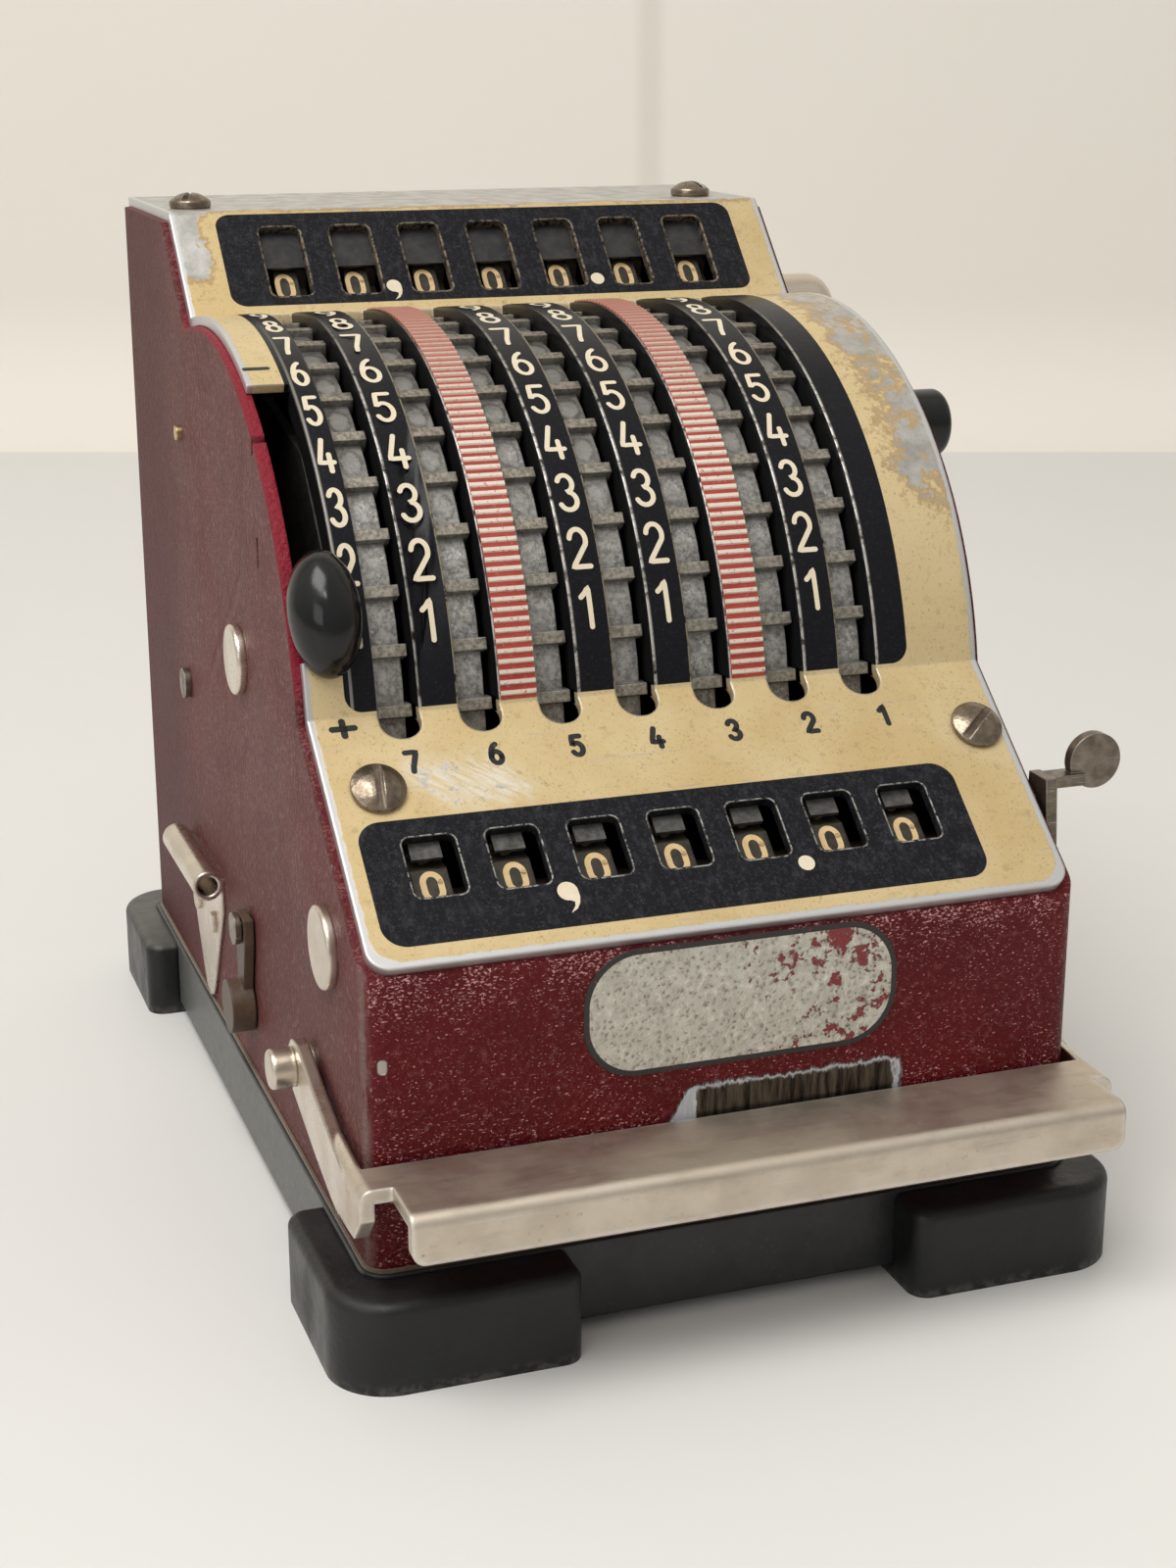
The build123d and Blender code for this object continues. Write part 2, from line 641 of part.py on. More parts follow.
with BuildPart() as right_lever_pivot:
    rod(inner_w - 1.2, lever_x + lever_t + gap, lever_pin_r, lever_at)
    rod(lever_x + lever_t + gap, lever_x + lever_t + 1.6, 3.2, lever_at)
    rod(half_w, lever_x - gap, 3.2, lever_at)
finish(right_lever_pivot, "right_lever_pivot")

with BuildPart() as right_knob:
    rod(frame_right - frame_t - gap, half_w + gap, spindle_r, knob_at)
    rod(half_w + gap, 61.3, 5.5, knob_at)
    fillet(right_knob.faces().sort_by(Axis.X)[-1].edges(), radius=1.6)
finish(right_knob, "right_knob")

bell_r = 7.0
with BuildPart() as bell_knob:
    rod(frame_right + 1 + gap, half_w + gap, spindle_r, bell_at)
    rod(half_w + gap, 67.8, bell_r, bell_at)
    fillet(bell_knob.faces().sort_by(Axis.X)[-1].edges(), radius=4.5)
finish(bell_knob, "bell_knob")

# ---------------------------------------------------------------- left side fittings
tab_x = -half_w - gap
tab_disc = (-7.0, 26.0)
with BuildPart() as left_tab:
    with BuildSketch(Plane.YZ.offset(tab_x - 1.6)):
        with BuildLine():
            Polyline((tab_at[0] - 3, tab_at[1] + 2), (tab_at[0] - 3, tab_at[1] - 2),
                     (tab_disc[0] - 1.6, tab_disc[1]),
                     (tab_disc[0] + 1.6, tab_disc[1]), (tab_at[0] + 3, tab_at[1] - 2),
                     (tab_at[0] + 3, tab_at[1] + 2), close=True)
        make_face()
    extrude(amount=1.6)
    rod(tab_x - 3.8, tab_x, 4.4, tab_disc)
    bore(tab_x - 4, tab_x + 1, lever_pin_r + run, tab_at)
finish(left_tab, "left_tab")

with BuildPart() as left_tab_pivot:
    rod(tab_x - 1.6 - gap, -inner_w + 1.2, lever_pin_r, tab_at)
    rod(tab_x - 1.6 - gap - 1, tab_x - 1.6 - gap, 2.6, tab_at)
finish(left_tab_pivot, "left_tab_pivot")

clip_t = 0.8
clip_tube_r = 2.5
clip_y0, clip_y1 = 12.0, 40.0
clip_z = 40.0
clip_x = -half_w - 0.4 - clip_tube_r
with BuildPart() as stylus_clip:
    with BuildSketch(Plane.YZ.offset(-half_w - clip_t)):
        with BuildLine():
            Polyline((clip_y0, clip_z + 1), (clip_y0, 35), (21.5, 19), (23.5, 16), (26, 15.2), (28.5, 16), (30.5, 19),
                     (clip_y1, 35), (clip_y1, clip_z + 1), close=True)
        make_face()
    extrude(amount=clip_t)
    with BuildSketch(Plane.XZ.offset(-clip_y0)):
        with Locations((clip_x, clip_z)):
            Circle(clip_tube_r)
            Circle(clip_tube_r - clip_t, mode=Mode.SUBTRACT)
    extrude(amount=-(clip_y1 - clip_y0))
    with BuildSketch(Plane.XZ.offset(-clip_y0 + 1)):
        with Locations((clip_x, clip_z)):
            Circle(clip_tube_r - clip_t)
    extrude(amount=-(clip_y1 - clip_y0) - 2, mode=Mode.SUBTRACT)
    for rivet_at in clip_rivets:
        bore(-half_w - 4, -half_w + 1, clip_rivet_r + run, rivet_at)
finish(stylus_clip, "stylus_clip")

with BuildPart() as clip_rivets_part:
    for rivet_at in clip_rivets:
        rod(-half_w - clip_t, -inner_w + 0.8, clip_rivet_r, rivet_at)
        rod(-half_w - clip_t - 0.7, -half_w - clip_t, 1.9, rivet_at)
finish(clip_rivets_part, "clip_rivets")

with BuildPart() as wall_stud:
    rod(-half_w - head_t, -half_w, stud_head_r, stud_at)
    rod(-half_w, -inner_w + 0.6, stud_r, stud_at)
    fillet(wall_stud.faces().sort_by(Axis.X)[0].edges(), radius=0.5)
finish(wall_stud, "wall_stud")


screw_head_r = 4.0
screw_head_h = 1.7
with BuildPart() as cover_screws_front:
    for i, (x, s) in enumerate(front_screws):
        with BuildSketch(low_plane):
            with Locations((x, s)):
                Circle(screw_head_r)
        extrude(amount=screw_head_h, taper=12)
        with BuildSketch(low_plane):
            with Locations((x, s)):
                Circle(front_screw_r)
        extrude(amount=-cover_t - gap - lug_t - 2)
        with BuildSketch(low_plane.offset(screw_head_h + 0.1)):
            with Locations(Location((x, s), 84 if i == 0 else 40)):
                Rectangle(9, 0.9)
        extrude(amount=-1.1, mode=Mode.SUBTRACT)
finish(cover_screws_front, "cover_screws_front")

with BuildPart() as cover_screws_top:
    for i, (x, y) in enumerate(top_screws):
        with BuildSketch(Plane.XY.offset(top_z)):
            with Locations((x, y)):
                Circle(3.5)
        extrude(amount=2.3, taper=20)
        with BuildSketch(Plane.XY.offset(top_z)):
            with Locations((x, y)):
                Circle(top_screw_r)
        extrude(amount=-cover_t - gap - lug_t - 2)
        with BuildSketch(Plane.XY.offset(top_z + 2.4)):
            with Locations(Location((x, y), 20 if i == 0 else 75)):
                Rectangle(9, 0.9)
        extrude(amount=-1.2, mode=Mode.SUBTRACT)
finish(cover_screws_top, "cover_screws_top")

with BuildPart() as side_screw:
    rod(-half_w - 1.2, -half_w, 2.6, side_screw_at)
    rod(-half_w, -inner_w + 2, side_screw_r, side_screw_at)
    with BuildSketch(Plane.YZ.offset(-half_w - 1.3)):
        with Locations(Location(side_screw_at, 65)):
            Rectangle(6, 0.8)
    extrude(amount=0.9, mode=Mode.SUBTRACT)
finish(side_screw, "side_screw")

with BuildPart() as guide_pin:
    rod(-half_w - 0.9, -inner_w + 2, guide_pin_r, guide_pin_at)
finish(guide_pin, "guide_pin")

# ---------------------------------------------------------------- parts under the windows
with BuildPart() as detent_comb:
    with BuildSketch(low_plane.offset(-cover_t)):
        with Locations((-3.0, -18.9)):
            Rectangle(82, 3)
        with Locations(*[(column_x(n) - 1.0, -21.2) for n in range(1, columns + 1)]):
            Rectangle(4.5, 4.8)
    extrude(amount=-0.7)
finish(detent_comb, "detent_comb")

with BuildPart() as window_mask:
    with BuildSketch(high_plane.offset(-cover_t)):
        with Locations((1.5, (11.0 + 19.5) / 2)):
            Rectangle(84, 8.5)
    extrude(amount=-0.5)
finish(window_mask, "window_mask")

# ---------------------------------------------------------------- base, gasket and feet
base_out = 1.0               # base outside the housing
base_z = foot_pad
base_w = half_w + base_out
base_d = half_d + base_out
foot_screw_r = 1.9
foot_screw_at = [(sx * 36.0, sy * 66.0) for sx in (-1, 1) for sy in (-1, 1)]
with BuildPart() as base:
    with BuildSketch(Plane.XY.offset(base_z)):
        RectangleRounded(2 * base_w, 2 * base_d, corner_r + base_out)
    extrude(amount=base_top - base_z)
    with BuildSketch(Plane.XY.offset(base_z + 2)):
        RectangleRounded(2 * base_w - 6, 2 * base_d - 6, 2)
    extrude(amount=base_top, mode=Mode.SUBTRACT)
    with BuildSketch(Plane.XY.offset(base_z + 1)):
        with Locations((frame_left + frame_t / 2, 0), (frame_right - frame_t / 2, 0)):
            Rectangle(5, 2 * base_d - 4)
    extrude(amount=base_top - base_z - 1)
    with BuildSketch(Plane.XY.offset(base_z - 1)):
        with Locations(*foot_screw_at):
            Circle(foot_screw_r + run)
    extrude(amount=4, mode=Mode.SUBTRACT)
finish(base, "base")

with BuildPart() as base_gasket:
    with BuildSketch(Plane.XY.offset(base_top)):
        RectangleRounded(2 * half_w + 0.8, 2 * half_d + 0.8, corner_r + 0.4)
        RectangleRounded(2 * inner_w, 2 * half_d - 2 * wall, corner_r - wall, mode=Mode.SUBTRACT)
    extrude(amount=gasket_t)
finish(base_gasket, "base_gasket")

for label, sx, sy in (("foot_front_left", -1, -1), ("foot_front_right", 1, -1),
                      ("foot_rear_left", -1, 1), ("foot_rear_right", 1, 1)):
    outer_x = sx * (base_w + foot_out)
    outer_y = sy * (base_d + foot_ahead)
    with BuildPart() as foot:
        with BuildSketch():
            with Locations((outer_x - sx * foot_x / 2, outer_y - sy * foot_y / 2)):
                RectangleRounded(foot_x, foot_y, 3)
            with Locations((outer_x - sx * 12, outer_y - sy * 12)):
                RectangleRounded(24, 24, 9)
        extrude(amount=foot_h)
        # keep only the round corner outside
        with BuildSketch():
            with Locations((outer_x - sx * 4.5, outer_y - sy * 4.5)):
                Rectangle(9, 9)
            with Locations((outer_x - sx * 9, outer_y - sy * 9)):
                Circle(9, mode=Mode.SUBTRACT)
        extrude(amount=foot_h, mode=Mode.SUBTRACT)
        top_edges = foot.faces().sort_by(Axis.Z)[-1].edges()
        fillet(top_edges, radius=1.6)
        with BuildSketch(Plane.XY.offset(base_z)):
            RectangleRounded(2 * base_w, 2 * base_d, corner_r + base_out)
        extrude(amount=foot_h, mode=Mode.SUBTRACT)
        with BuildSketch(Plane.XY.offset(-1)):
            with Locations((sx * 36.0, sy * 66.0)):
                Circle(foot_screw_r + run)
        extrude(amount=foot_h, mode=Mode.SUBTRACT)
        with BuildSketch():
            with Locations((sx * 36.0, sy * 66.0)):
                Circle(4.0)
        extrude(amount=1.3, mode=Mode.SUBTRACT)
    finish(foot, label)

with BuildPart() as foot_screws:
    for at in foot_screw_at:
        with BuildSketch(Plane.XY.offset(0.3)):
            with Locations(at):
                Circle(3.6)
        extrude(amount=1.0)
        with BuildSketch(Plane.XY.offset(0.5)):
            with Locations(at):
                Circle(foot_screw_r)
        extrude(amount=base_z + 2.8)
finish(foot_screws, "foot_screws")
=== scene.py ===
# %% [markdown]
# # A seven-column adding machine worked with a stylus
# The solids come from the CAD. This script gives each one its finish, prints the figures, adds
# the thin pieces that sit on the surface, and sets the stage. Blender works in metres, with +Z
# up, the front towards -Y and the origin on the table under the middle of the machine.

# %% Load the solids
import json
import math

import bmesh
import bpy
from mathutils import Matrix, Vector


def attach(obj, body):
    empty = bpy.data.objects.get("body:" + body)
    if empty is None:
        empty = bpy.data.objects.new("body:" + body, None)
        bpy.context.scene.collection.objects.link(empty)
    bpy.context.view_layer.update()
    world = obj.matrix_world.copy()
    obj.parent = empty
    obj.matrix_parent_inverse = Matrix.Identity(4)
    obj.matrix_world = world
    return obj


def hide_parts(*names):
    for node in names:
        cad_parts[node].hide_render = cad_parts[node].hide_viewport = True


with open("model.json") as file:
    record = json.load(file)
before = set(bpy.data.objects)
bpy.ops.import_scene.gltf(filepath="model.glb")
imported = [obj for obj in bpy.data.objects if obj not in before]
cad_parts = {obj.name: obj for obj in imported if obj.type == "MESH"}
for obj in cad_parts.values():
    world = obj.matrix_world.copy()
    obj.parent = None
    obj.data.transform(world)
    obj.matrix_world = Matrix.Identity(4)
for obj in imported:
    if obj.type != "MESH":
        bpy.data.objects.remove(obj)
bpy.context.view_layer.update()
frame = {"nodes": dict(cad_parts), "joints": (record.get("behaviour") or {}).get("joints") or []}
nodes = frame["nodes"]
print("solids loaded:", len(nodes))

# %% [markdown]
# ## Sizes shared by the printing and the finishes
# The machine was measured in millimetres from the middle of its four feet, so the sizes below
# are written that way and `spot` turns them into places in metres. The cover is one bent plate:
# a lower slope, an arc about the axis of the wheels, an upper slope and a flat top.

# %% Shared sizes
MM = 0.001
PITCH = 12.0
FIRST_X = -39.4
SLOT_W = 6.1
ARC_Y, ARC_Z, ARC_R = 11.65, 72.8, 61.0
LOW_FOLD_DEG, HIGH_FOLD_DEG = 169.2, 77.0
LOW_SLOPE, HIGH_SLOPE = 39.1, 45.4
DIGIT_STEP = 8.4
RIB_FIRST = 160.7
FRONT_Y = -80.1
PRINT_LIFT = 0.03
MIDDLE = Vector((3.725, -4.1, 0))


def spot(x, y, z):
    return (Vector((x, y, z)) - MIDDLE) * MM


def ring(deg, r=ARC_R):
    """(y, z) of a point about the axis of the arc."""
    a = math.radians(deg)
    return ARC_Y + r * math.cos(a), ARC_Z + r * math.sin(a)


LOW_FOLD = ring(LOW_FOLD_DEG)
HIGH_FOLD = ring(HIGH_FOLD_DEG)


def column_x(k):
    """Middle of slot k, counted from the left from 0."""
    return FIRST_X + PITCH * k


def on_arc(deg, lift=0.0):
    """Places (u, v) around an angle of the arc: u along X, v up the arc, both in mm."""
    def place(u, v):
        y, z = ring(deg - math.degrees(v / ARC_R), ARC_R + lift)
        return spot(u, y, z)
    return place


def on_slope(fold, slope, lift=0.0):
    """Places (u, v) on a flat face of the cover: v runs up the slope from its fold."""
    a = math.radians(slope)
    def place(u, v):
        y = fold[0] + v * math.cos(a) - lift * math.sin(a)
        z = fold[1] + v * math.sin(a) + lift * math.cos(a)
        return spot(u, y, z)
    return place


def on_facet(axis, apothem, deg, lift=0.0):
    """Places (u, v) on a drum's flat whose normal points at deg in the Y-Z plane."""
    a = math.radians(deg)
    n = (math.cos(a), math.sin(a))
    up = (math.sin(a), -math.cos(a))
    r = apothem + lift
    def place(u, v):
        return spot(u, axis[0] + n[0] * r + up[0] * v, axis[1] + n[1] * r + up[1] * v)
    return place

# %% [markdown]
# ## Writing shader nodes in few words
# A finish is a chain of small nodes. Each one here could be placed by hand in the shader
# editor. `Value` lets their outputs be added, multiplied and compared as numbers are.

# %% Values
class Value:
    """An output of a node. Sums with it become Math nodes."""

    def __init__(self, tree, socket):
        self.tree, self.socket = tree, socket

    def __add__(self, other):
        return self.tree.math("ADD", self, other)

    def __sub__(self, other):
        return self.tree.math("SUBTRACT", self, other)

    def __rsub__(self, other):
        return self.tree.math("SUBTRACT", other, self)

    def __mul__(self, other):
        return self.tree.math("MULTIPLY", self, other)

    def __rmul__(self, other):
        return self.tree.math("MULTIPLY", other, self)

    def __radd__(self, other):
        return self.tree.math("ADD", other, self)

    def __abs__(self):
        return self.tree.math("ABSOLUTE", self)

    def __lt__(self, other):
        return self.tree.math("LESS_THAN", self, other)

    def __gt__(self, other):
        return self.tree.math("GREATER_THAN", self, other)

# %% [markdown]
# `Nodes` makes the plain nodes: soft steps, mixes, noise, bumps and moved coordinates. An input
# takes a value, a number or a colour alike, so one line can be read as one thought.

# %% Plain nodes
class Nodes:
    def __init__(self, tree):
        self.tree = tree
        self.nodes = tree.nodes
        self.links = tree.links

    def put(self, node, key, value):
        """Link a value to an input, or set the input to a number or colour."""
        sock = node.inputs[key]
        if isinstance(value, Value):
            self.links.new(value.socket, sock)
        elif isinstance(value, bpy.types.NodeSocket):
            self.links.new(value, sock)
        elif sock.type == "RGBA" and not hasattr(value, "__len__"):
            sock.default_value = (value, value, value, 1)
        elif sock.type == "RGBA" and len(value) == 3:
            sock.default_value = (*value, 1)
        else:
            sock.default_value = value

    def node(self, kind, ins=None, **props):
        n = self.nodes.new(kind)
        for k, v in props.items():
            setattr(n, k, v)
        for k, v in (ins or {}).items():
            self.put(n, k, v)
        return n

    def result(self, kind, ins, key=0, **props):
        return Value(self, self.node(kind, ins, **props).outputs[key])

    def math(self, op, a, b=0.0, clamp=False):
        return self.result("ShaderNodeMath", {0: a, 1: b}, operation=op, use_clamp=clamp)

    def inv(self, a):
        return self.math("SUBTRACT", 1.0, a, clamp=True)

    def most(self, *values):
        out = values[0]
        for v in values[1:]:
            out = self.math("MAXIMUM", out, v)
        return out

    def step(self, value, low, high):
        """A soft step: 0 at low, 1 at high, whichever is the larger."""
        return self.result("ShaderNodeMapRange", {0: value, 1: low, 2: high},
                           interpolation_type="SMOOTHSTEP")

    def mix(self, fac, a, b):
        """From colour a to colour b."""
        return self.result("ShaderNodeMix", {0: fac, 6: a, 7: b}, 2, data_type="RGBA")

    def blend(self, fac, a, b):
        """From number a to number b."""
        return self.result("ShaderNodeMix", {0: fac, 2: a, 3: b}, data_type="FLOAT")

    def noise(self, vec, scale, detail=3.0, rough=0.55, distortion=0.0):
        ins = {"Vector": vec, "Scale": scale, "Detail": detail, "Roughness": rough,
               "Distortion": distortion}
        return self.result("ShaderNodeTexNoise", ins)

    def cells(self, vec, scale, feature="F1"):
        return self.result("ShaderNodeTexVoronoi", {"Vector": vec, "Scale": scale},
                           "Distance", feature=feature)

    def crevice(self, distance, samples=6):
        """1 in the open, less in corners and hollows, used for painted shade there and for rust on
        the screws.
        """
        return self.result("ShaderNodeAmbientOcclusion", {"Distance": distance}, "AO",
                           samples=samples)

    def stretch(self, vec, x, y, z):
        return self.result("ShaderNodeVectorMath", {0: vec, 1: (x, y, z)}, operation="MULTIPLY")

    def shift(self, vec, x, y, z):
        return self.result("ShaderNodeVectorMath", {0: vec, 1: (x, y, z)}, operation="ADD")

    def split(self, vec):
        return [Value(self, out) for out in self.node("ShaderNodeSeparateXYZ", {0: vec}).outputs]

    def join(self, x, y, z):
        return self.result("ShaderNodeCombineXYZ", {0: x, 1: y, 2: z})

    def bump(self, height, strength, distance, normal=None):
        ins = {"Height": height, "Strength": strength, "Distance": distance}
        if normal is not None:
            ins["Normal"] = normal
        return self.result("ShaderNodeBump", ins)

# %% [markdown]
# `Tree` adds the effects that the next cells build as node groups, and the measures of this
# machine: millimetres from the middle of its feet, and the angle about the axis of the arc.

# %% Shared effects by name
DEGREES = 180 / math.pi
F, V = "NodeSocketFloat", "NodeSocketVector"


class Tree(Nodes):
    def group(self, name, **ins):
        """A shared effect, as a dictionary of its outputs."""
        n = self.node("ShaderNodeGroup", node_tree=bpy.data.node_groups[name])
        for k, v in ins.items():
            self.put(n, k.replace("_", " "), v)
        return {out.name: Value(self, out) for out in n.outputs}

    def clouds(self, vec, scale, low=0.3, high=0.7):
        return self.group("clouds", Vector=vec, Scale=scale, Low=low, High=high)["Value"]

    def specks(self, vec, scale, size, density):
        return self.group("specks", Vector=vec, Scale=scale, Size=size, Density=density)["Mask"]

    def scratches(self, vec, scale, amount):
        return self.group("scratches", Vector=vec, Scale=scale, Amount=amount)["Mask"]

    def wrinkle(self, vec):
        return self.group("wrinkle", Vector=vec, Scale=1.15)["Height"]

    def worn_edge(self, vec, radius, ragged):
        return self.group("edge_wear", Radius=radius, Ragged=ragged, Vector=vec)

    def soft_edge(self, radius):
        return self.group("edge_wear", Radius=radius)["Normal"]

    def panel(self, u, v, middle, half, corner, soft=0.05):
        return self.group("rounded_panel", U=u, V=v, Center_U=middle[0], Center_V=middle[1],
                          Half_U=half[0], Half_V=half[1], Corner=corner, Soft=soft)

    def repeat(self, value, period):
        """The value counted again from 0 in each period."""
        return self.math("FRACT", self.math("DIVIDE", value, period)) * period

    def about_arc(self, y, z):
        """Degrees and millimetres about the axis of the arc."""
        back, up = y - ARC_Y, z - ARC_Z
        return self.math("ARCTAN2", up, back) * DEGREES, self.math("SQRT", back * back + up * up)

    def millimetres(self):
        """The point from the middle of the feet, in millimetres."""
        point = self.stretch(self.node("ShaderNodeTexCoord").outputs["Object"], 1000, 1000, 1000)
        return self.shift(point, *MIDDLE)


def new_group(name, ins, outs):
    g = bpy.data.node_groups.new(name, "ShaderNodeTree")
    for label, kind, value in ins:
        s = g.interface.new_socket(label, in_out="INPUT", socket_type=kind)
        if value is not None:
            s.default_value = value
    for label, kind in outs:
        g.interface.new_socket(label, in_out="OUTPUT", socket_type=kind)
    t = Tree(g)
    inside = {out.name: Value(t, out) for out in t.node("NodeGroupInput").outputs if out.name}
    return t, inside, t.node("NodeGroupOutput")

# %% [markdown]
# ## Effects that several finishes share
# Worn edges, dust and wrinkles turn up all over the machine. Each is a node group, built once,
# that gives out masks, heights and normals. The shader itself stays in each material.
# Along an edge the bevelled normal leans away from the flat one, and that marks the wear.

# %% Worn edges
t, i, o = new_group("edge_wear", [("Radius", F, 0.0004), ("Ragged", F, 0.5), ("Vector", V, None)],
                    [("Mask", F), ("Normal", V)])
bevel = t.node("ShaderNodeBevel", {"Radius": i["Radius"]}, samples=6)
geometry = t.node("ShaderNodeNewGeometry")
dot = t.result("ShaderNodeVectorMath", {0: bevel.outputs[0], 1: geometry.outputs["Normal"]},
               "Value",
               operation="DOT_PRODUCT")
lean = t.result("ShaderNodeMapRange", {0: dot, 1: 1.0, 2: 0.80}, clamp=True)
rag = t.noise(i["Vector"], 0.9, 4, 0.6)
rag = t.blend(i["Ragged"], 1.0, t.step(rag, 0.36, 0.56))
t.put(o, "Mask", lean * rag)
t.put(o, "Normal", bevel.outputs[0])

# %% [markdown]
# A rounded rectangle in any two coordinates marks painted panels, windows and bare patches.

# %% Rounded panel
t, i, o = new_group("rounded_panel",
                    [("U", F, 0), ("V", F, 0), ("Center U", F, 0), ("Center V", F, 0),
                     ("Half U", F, 1), ("Half V", F, 1), ("Corner", F, 1), ("Soft", F, 0.05)],
                    [("Mask", F), ("Distance", F)])
du = t.math("MAXIMUM", abs(i["U"] - i["Center U"]) - (i["Half U"] - i["Corner"]), 0)
dv = t.math("MAXIMUM", abs(i["V"] - i["Center V"]) - (i["Half V"] - i["Corner"]), 0)
far = t.math("SQRT", du * du + dv * dv) - i["Corner"]
t.put(o, "Mask", t.step(far, i["Soft"], i["Soft"] * -1))
t.put(o, "Distance", far)

# %% [markdown]
# Noise stretched a long way in three directions and cut high leaves only hair scratches.

# %% Scratches
t, i, o = new_group("scratches", [("Vector", V, None), ("Scale", F, 1.0), ("Amount", F, 0.5)],
                    [("Mask", F)])
lines = []
for turn, seed in ((0.5, 3.0), (-0.9, 11.0), (1.35, 23.0)):
    m = t.node("ShaderNodeMapping", {"Vector": i["Vector"], "Rotation": (turn, turn * 0.7, turn),
                                     "Location": (seed, seed, seed), "Scale": (0.09, 2.6, 2.6)})
    n = t.noise(m.outputs[0], i["Scale"], 2, 0.5, 0.4)
    lines.append(t.step(n, 0.70, 0.76))
t.put(o, "Mask", t.most(*lines) * i["Amount"])

# %% [markdown]
# Small round cells, kept only where a slower noise is high, look like dust or pits.

# %% Specks and clouds
t, i, o = new_group("specks", [("Vector", V, None), ("Scale", F, 1.0), ("Size", F, 0.2),
                               ("Density", F, 0.5)],
                    [("Mask", F)])
cell = t.cells(i["Vector"], i["Scale"])
where = t.noise(i["Vector"], i["Scale"] * 0.31, 3, 0.6)
t.put(o, "Mask", t.step(cell, i["Size"], i["Size"] * 0.5) * t.step(where, 1.0 - i["Density"], 1.0))

t, i, o = new_group("clouds", [("Vector", V, None), ("Scale", F, 0.1), ("Low", F, 0.35),
                               ("High", F, 0.65)],
                    [("Value", F)])
t.put(o, "Value", t.step(t.noise(i["Vector"], i["Scale"], 5, 0.6), i["Low"], i["High"]))

# %% [markdown]
# Wrinkled stove enamel has fine raised grains that run together: round cells, their places bent
# by a noise, with a finer noise on top.

# %% Wrinkle enamel
t, i, o = new_group("wrinkle", [("Vector", V, None), ("Scale", F, 1.0)], [("Height", F)])
warp = t.noise(i["Vector"], i["Scale"] * 0.8, 2, 0.5)
bent = t.result("ShaderNodeVectorMath", {0: i["Vector"], 1: t.join(warp, warp, warp)},
                operation="ADD")
grain = t.cells(bent, i["Scale"], "SMOOTH_F1")
fine = t.noise(bent, i["Scale"] * 2.3, 3, 0.6)
t.put(o, "Height", grain * 0.7 + fine * 0.6)

print("shared effects:", ", ".join(sorted(g.name for g in bpy.data.node_groups)))

# %% [markdown]
# ## Starting and ending a finish
# `material` makes an empty one with its shader, and `dress` fills the shader's inputs.

# %% Material helpers
def material(name):
    m = bpy.data.materials.new(name)
    m.use_nodes = True
    m.node_tree.nodes.clear()
    t = Tree(m.node_tree)
    shader = t.node("ShaderNodeBsdfPrincipled")
    out = t.node("ShaderNodeOutputMaterial")
    t.links.new(shader.outputs[0], out.inputs[0])
    return m, t, shader


def dress(t, shader, **ins):
    names = {"color": "Base Color", "metal": "Metallic", "rough": "Roughness", "normal": "Normal",
             "coat": "Coat Weight", "coat_rough": "Coat Roughness", "spec": "Specular IOR Level",
             "sheen": "Sheen Weight"}
    for k, v in ins.items():
        t.put(shader, names[k], v)

# %% [markdown]
# ## The cover
# One aluminium plate with a gold lacquer, printed black around the windows and between the
# slots. All of it is one finish: each printed field is a mask worked out from the point itself,
# so no picture or unwrapping is needed. First comes where a point lies on the bent plate.

# %% Places on the cover
cover_mat, t, sh = material("cover_lacquer_and_black")
p = t.millimetres()
x, y, z = t.split(p)
wear = t.worn_edge(p, 0.0005, 0.45)
fine_edge = t.worn_edge(p, 0.00028, 0.25)
low_c, low_s = math.cos(math.radians(LOW_SLOPE)), math.sin(math.radians(LOW_SLOPE))
high_c, high_s = math.cos(math.radians(HIGH_SLOPE)), math.sin(math.radians(HIGH_SLOPE))
s_low = (y - LOW_FOLD[0]) * low_c + (z - LOW_FOLD[1]) * low_s
s_high = (y - HIGH_FOLD[0]) * high_c + (z - HIGH_FOLD[1]) * high_s
angle, radius = t.about_arc(y, z)
outward = radius - ARC_R
along = (LOW_FOLD_DEG - angle) * (ARC_R / DEGREES)
is_low = y < LOW_FOLD[0]
is_high = y > HIGH_FOLD[0] + 0.2
is_arc = t.inv(is_low) * t.inv(is_high)
low_panel = t.panel(x, s_low, (-4.4, -27.9), (45.4, 10.05), 3.5)
high_panel = t.panel(x, s_high, (0.65, 11.6), (45.95, 9.6), 2.6)
arc_panel = t.panel(x, along, (-3.0, 48.6), (44.0, 48.0), 2.6)
black = t.most(low_panel["Mask"] * is_low, high_panel["Mask"] * is_high, arc_panel["Mask"] * is_arc)

# %% [markdown]
# The lacquer has gone along the right rim of the arc, at the upper left and on the top. A cloudy
# noise is pushed up in those zones and cut at one level, which gives ragged islands of metal.

# %% Bare metal
cloud = t.noise(p, 0.11, 7, 0.68, 0.3)
fine_cloud = t.noise(p, 0.7, 5, 0.7)
right_rim = t.step(x, 39.5, 48.0) * is_arc * (t.step(angle, 160, 138) * t.step(angle, 74, 86))
left_rim = t.step(x, -45.0, -50.0) * t.step(y, 27, 34)
top_band = t.step(s_high, 20.0, 24.0) * is_high
patch_jag = (t.noise(t.stretch(p, 1.0, 0.5, 0.5), 0.55, 5, 0.75) - 0.5) * 9.0
low_patch = t.panel(x + s_low * 0.55, s_low + patch_jag, (-38.5, -12.4), (8.0, 3.9), 3.6, 1.5)
bare_push = top_band * 0.30 + low_patch["Mask"] * is_low * 0.11
bare_push = right_rim * 0.20 + left_rim * 0.30 + bare_push
bare_value = cloud * 0.62 + fine_cloud * 0.38 + bare_push
bare = t.step(bare_value, 0.66, 0.72)
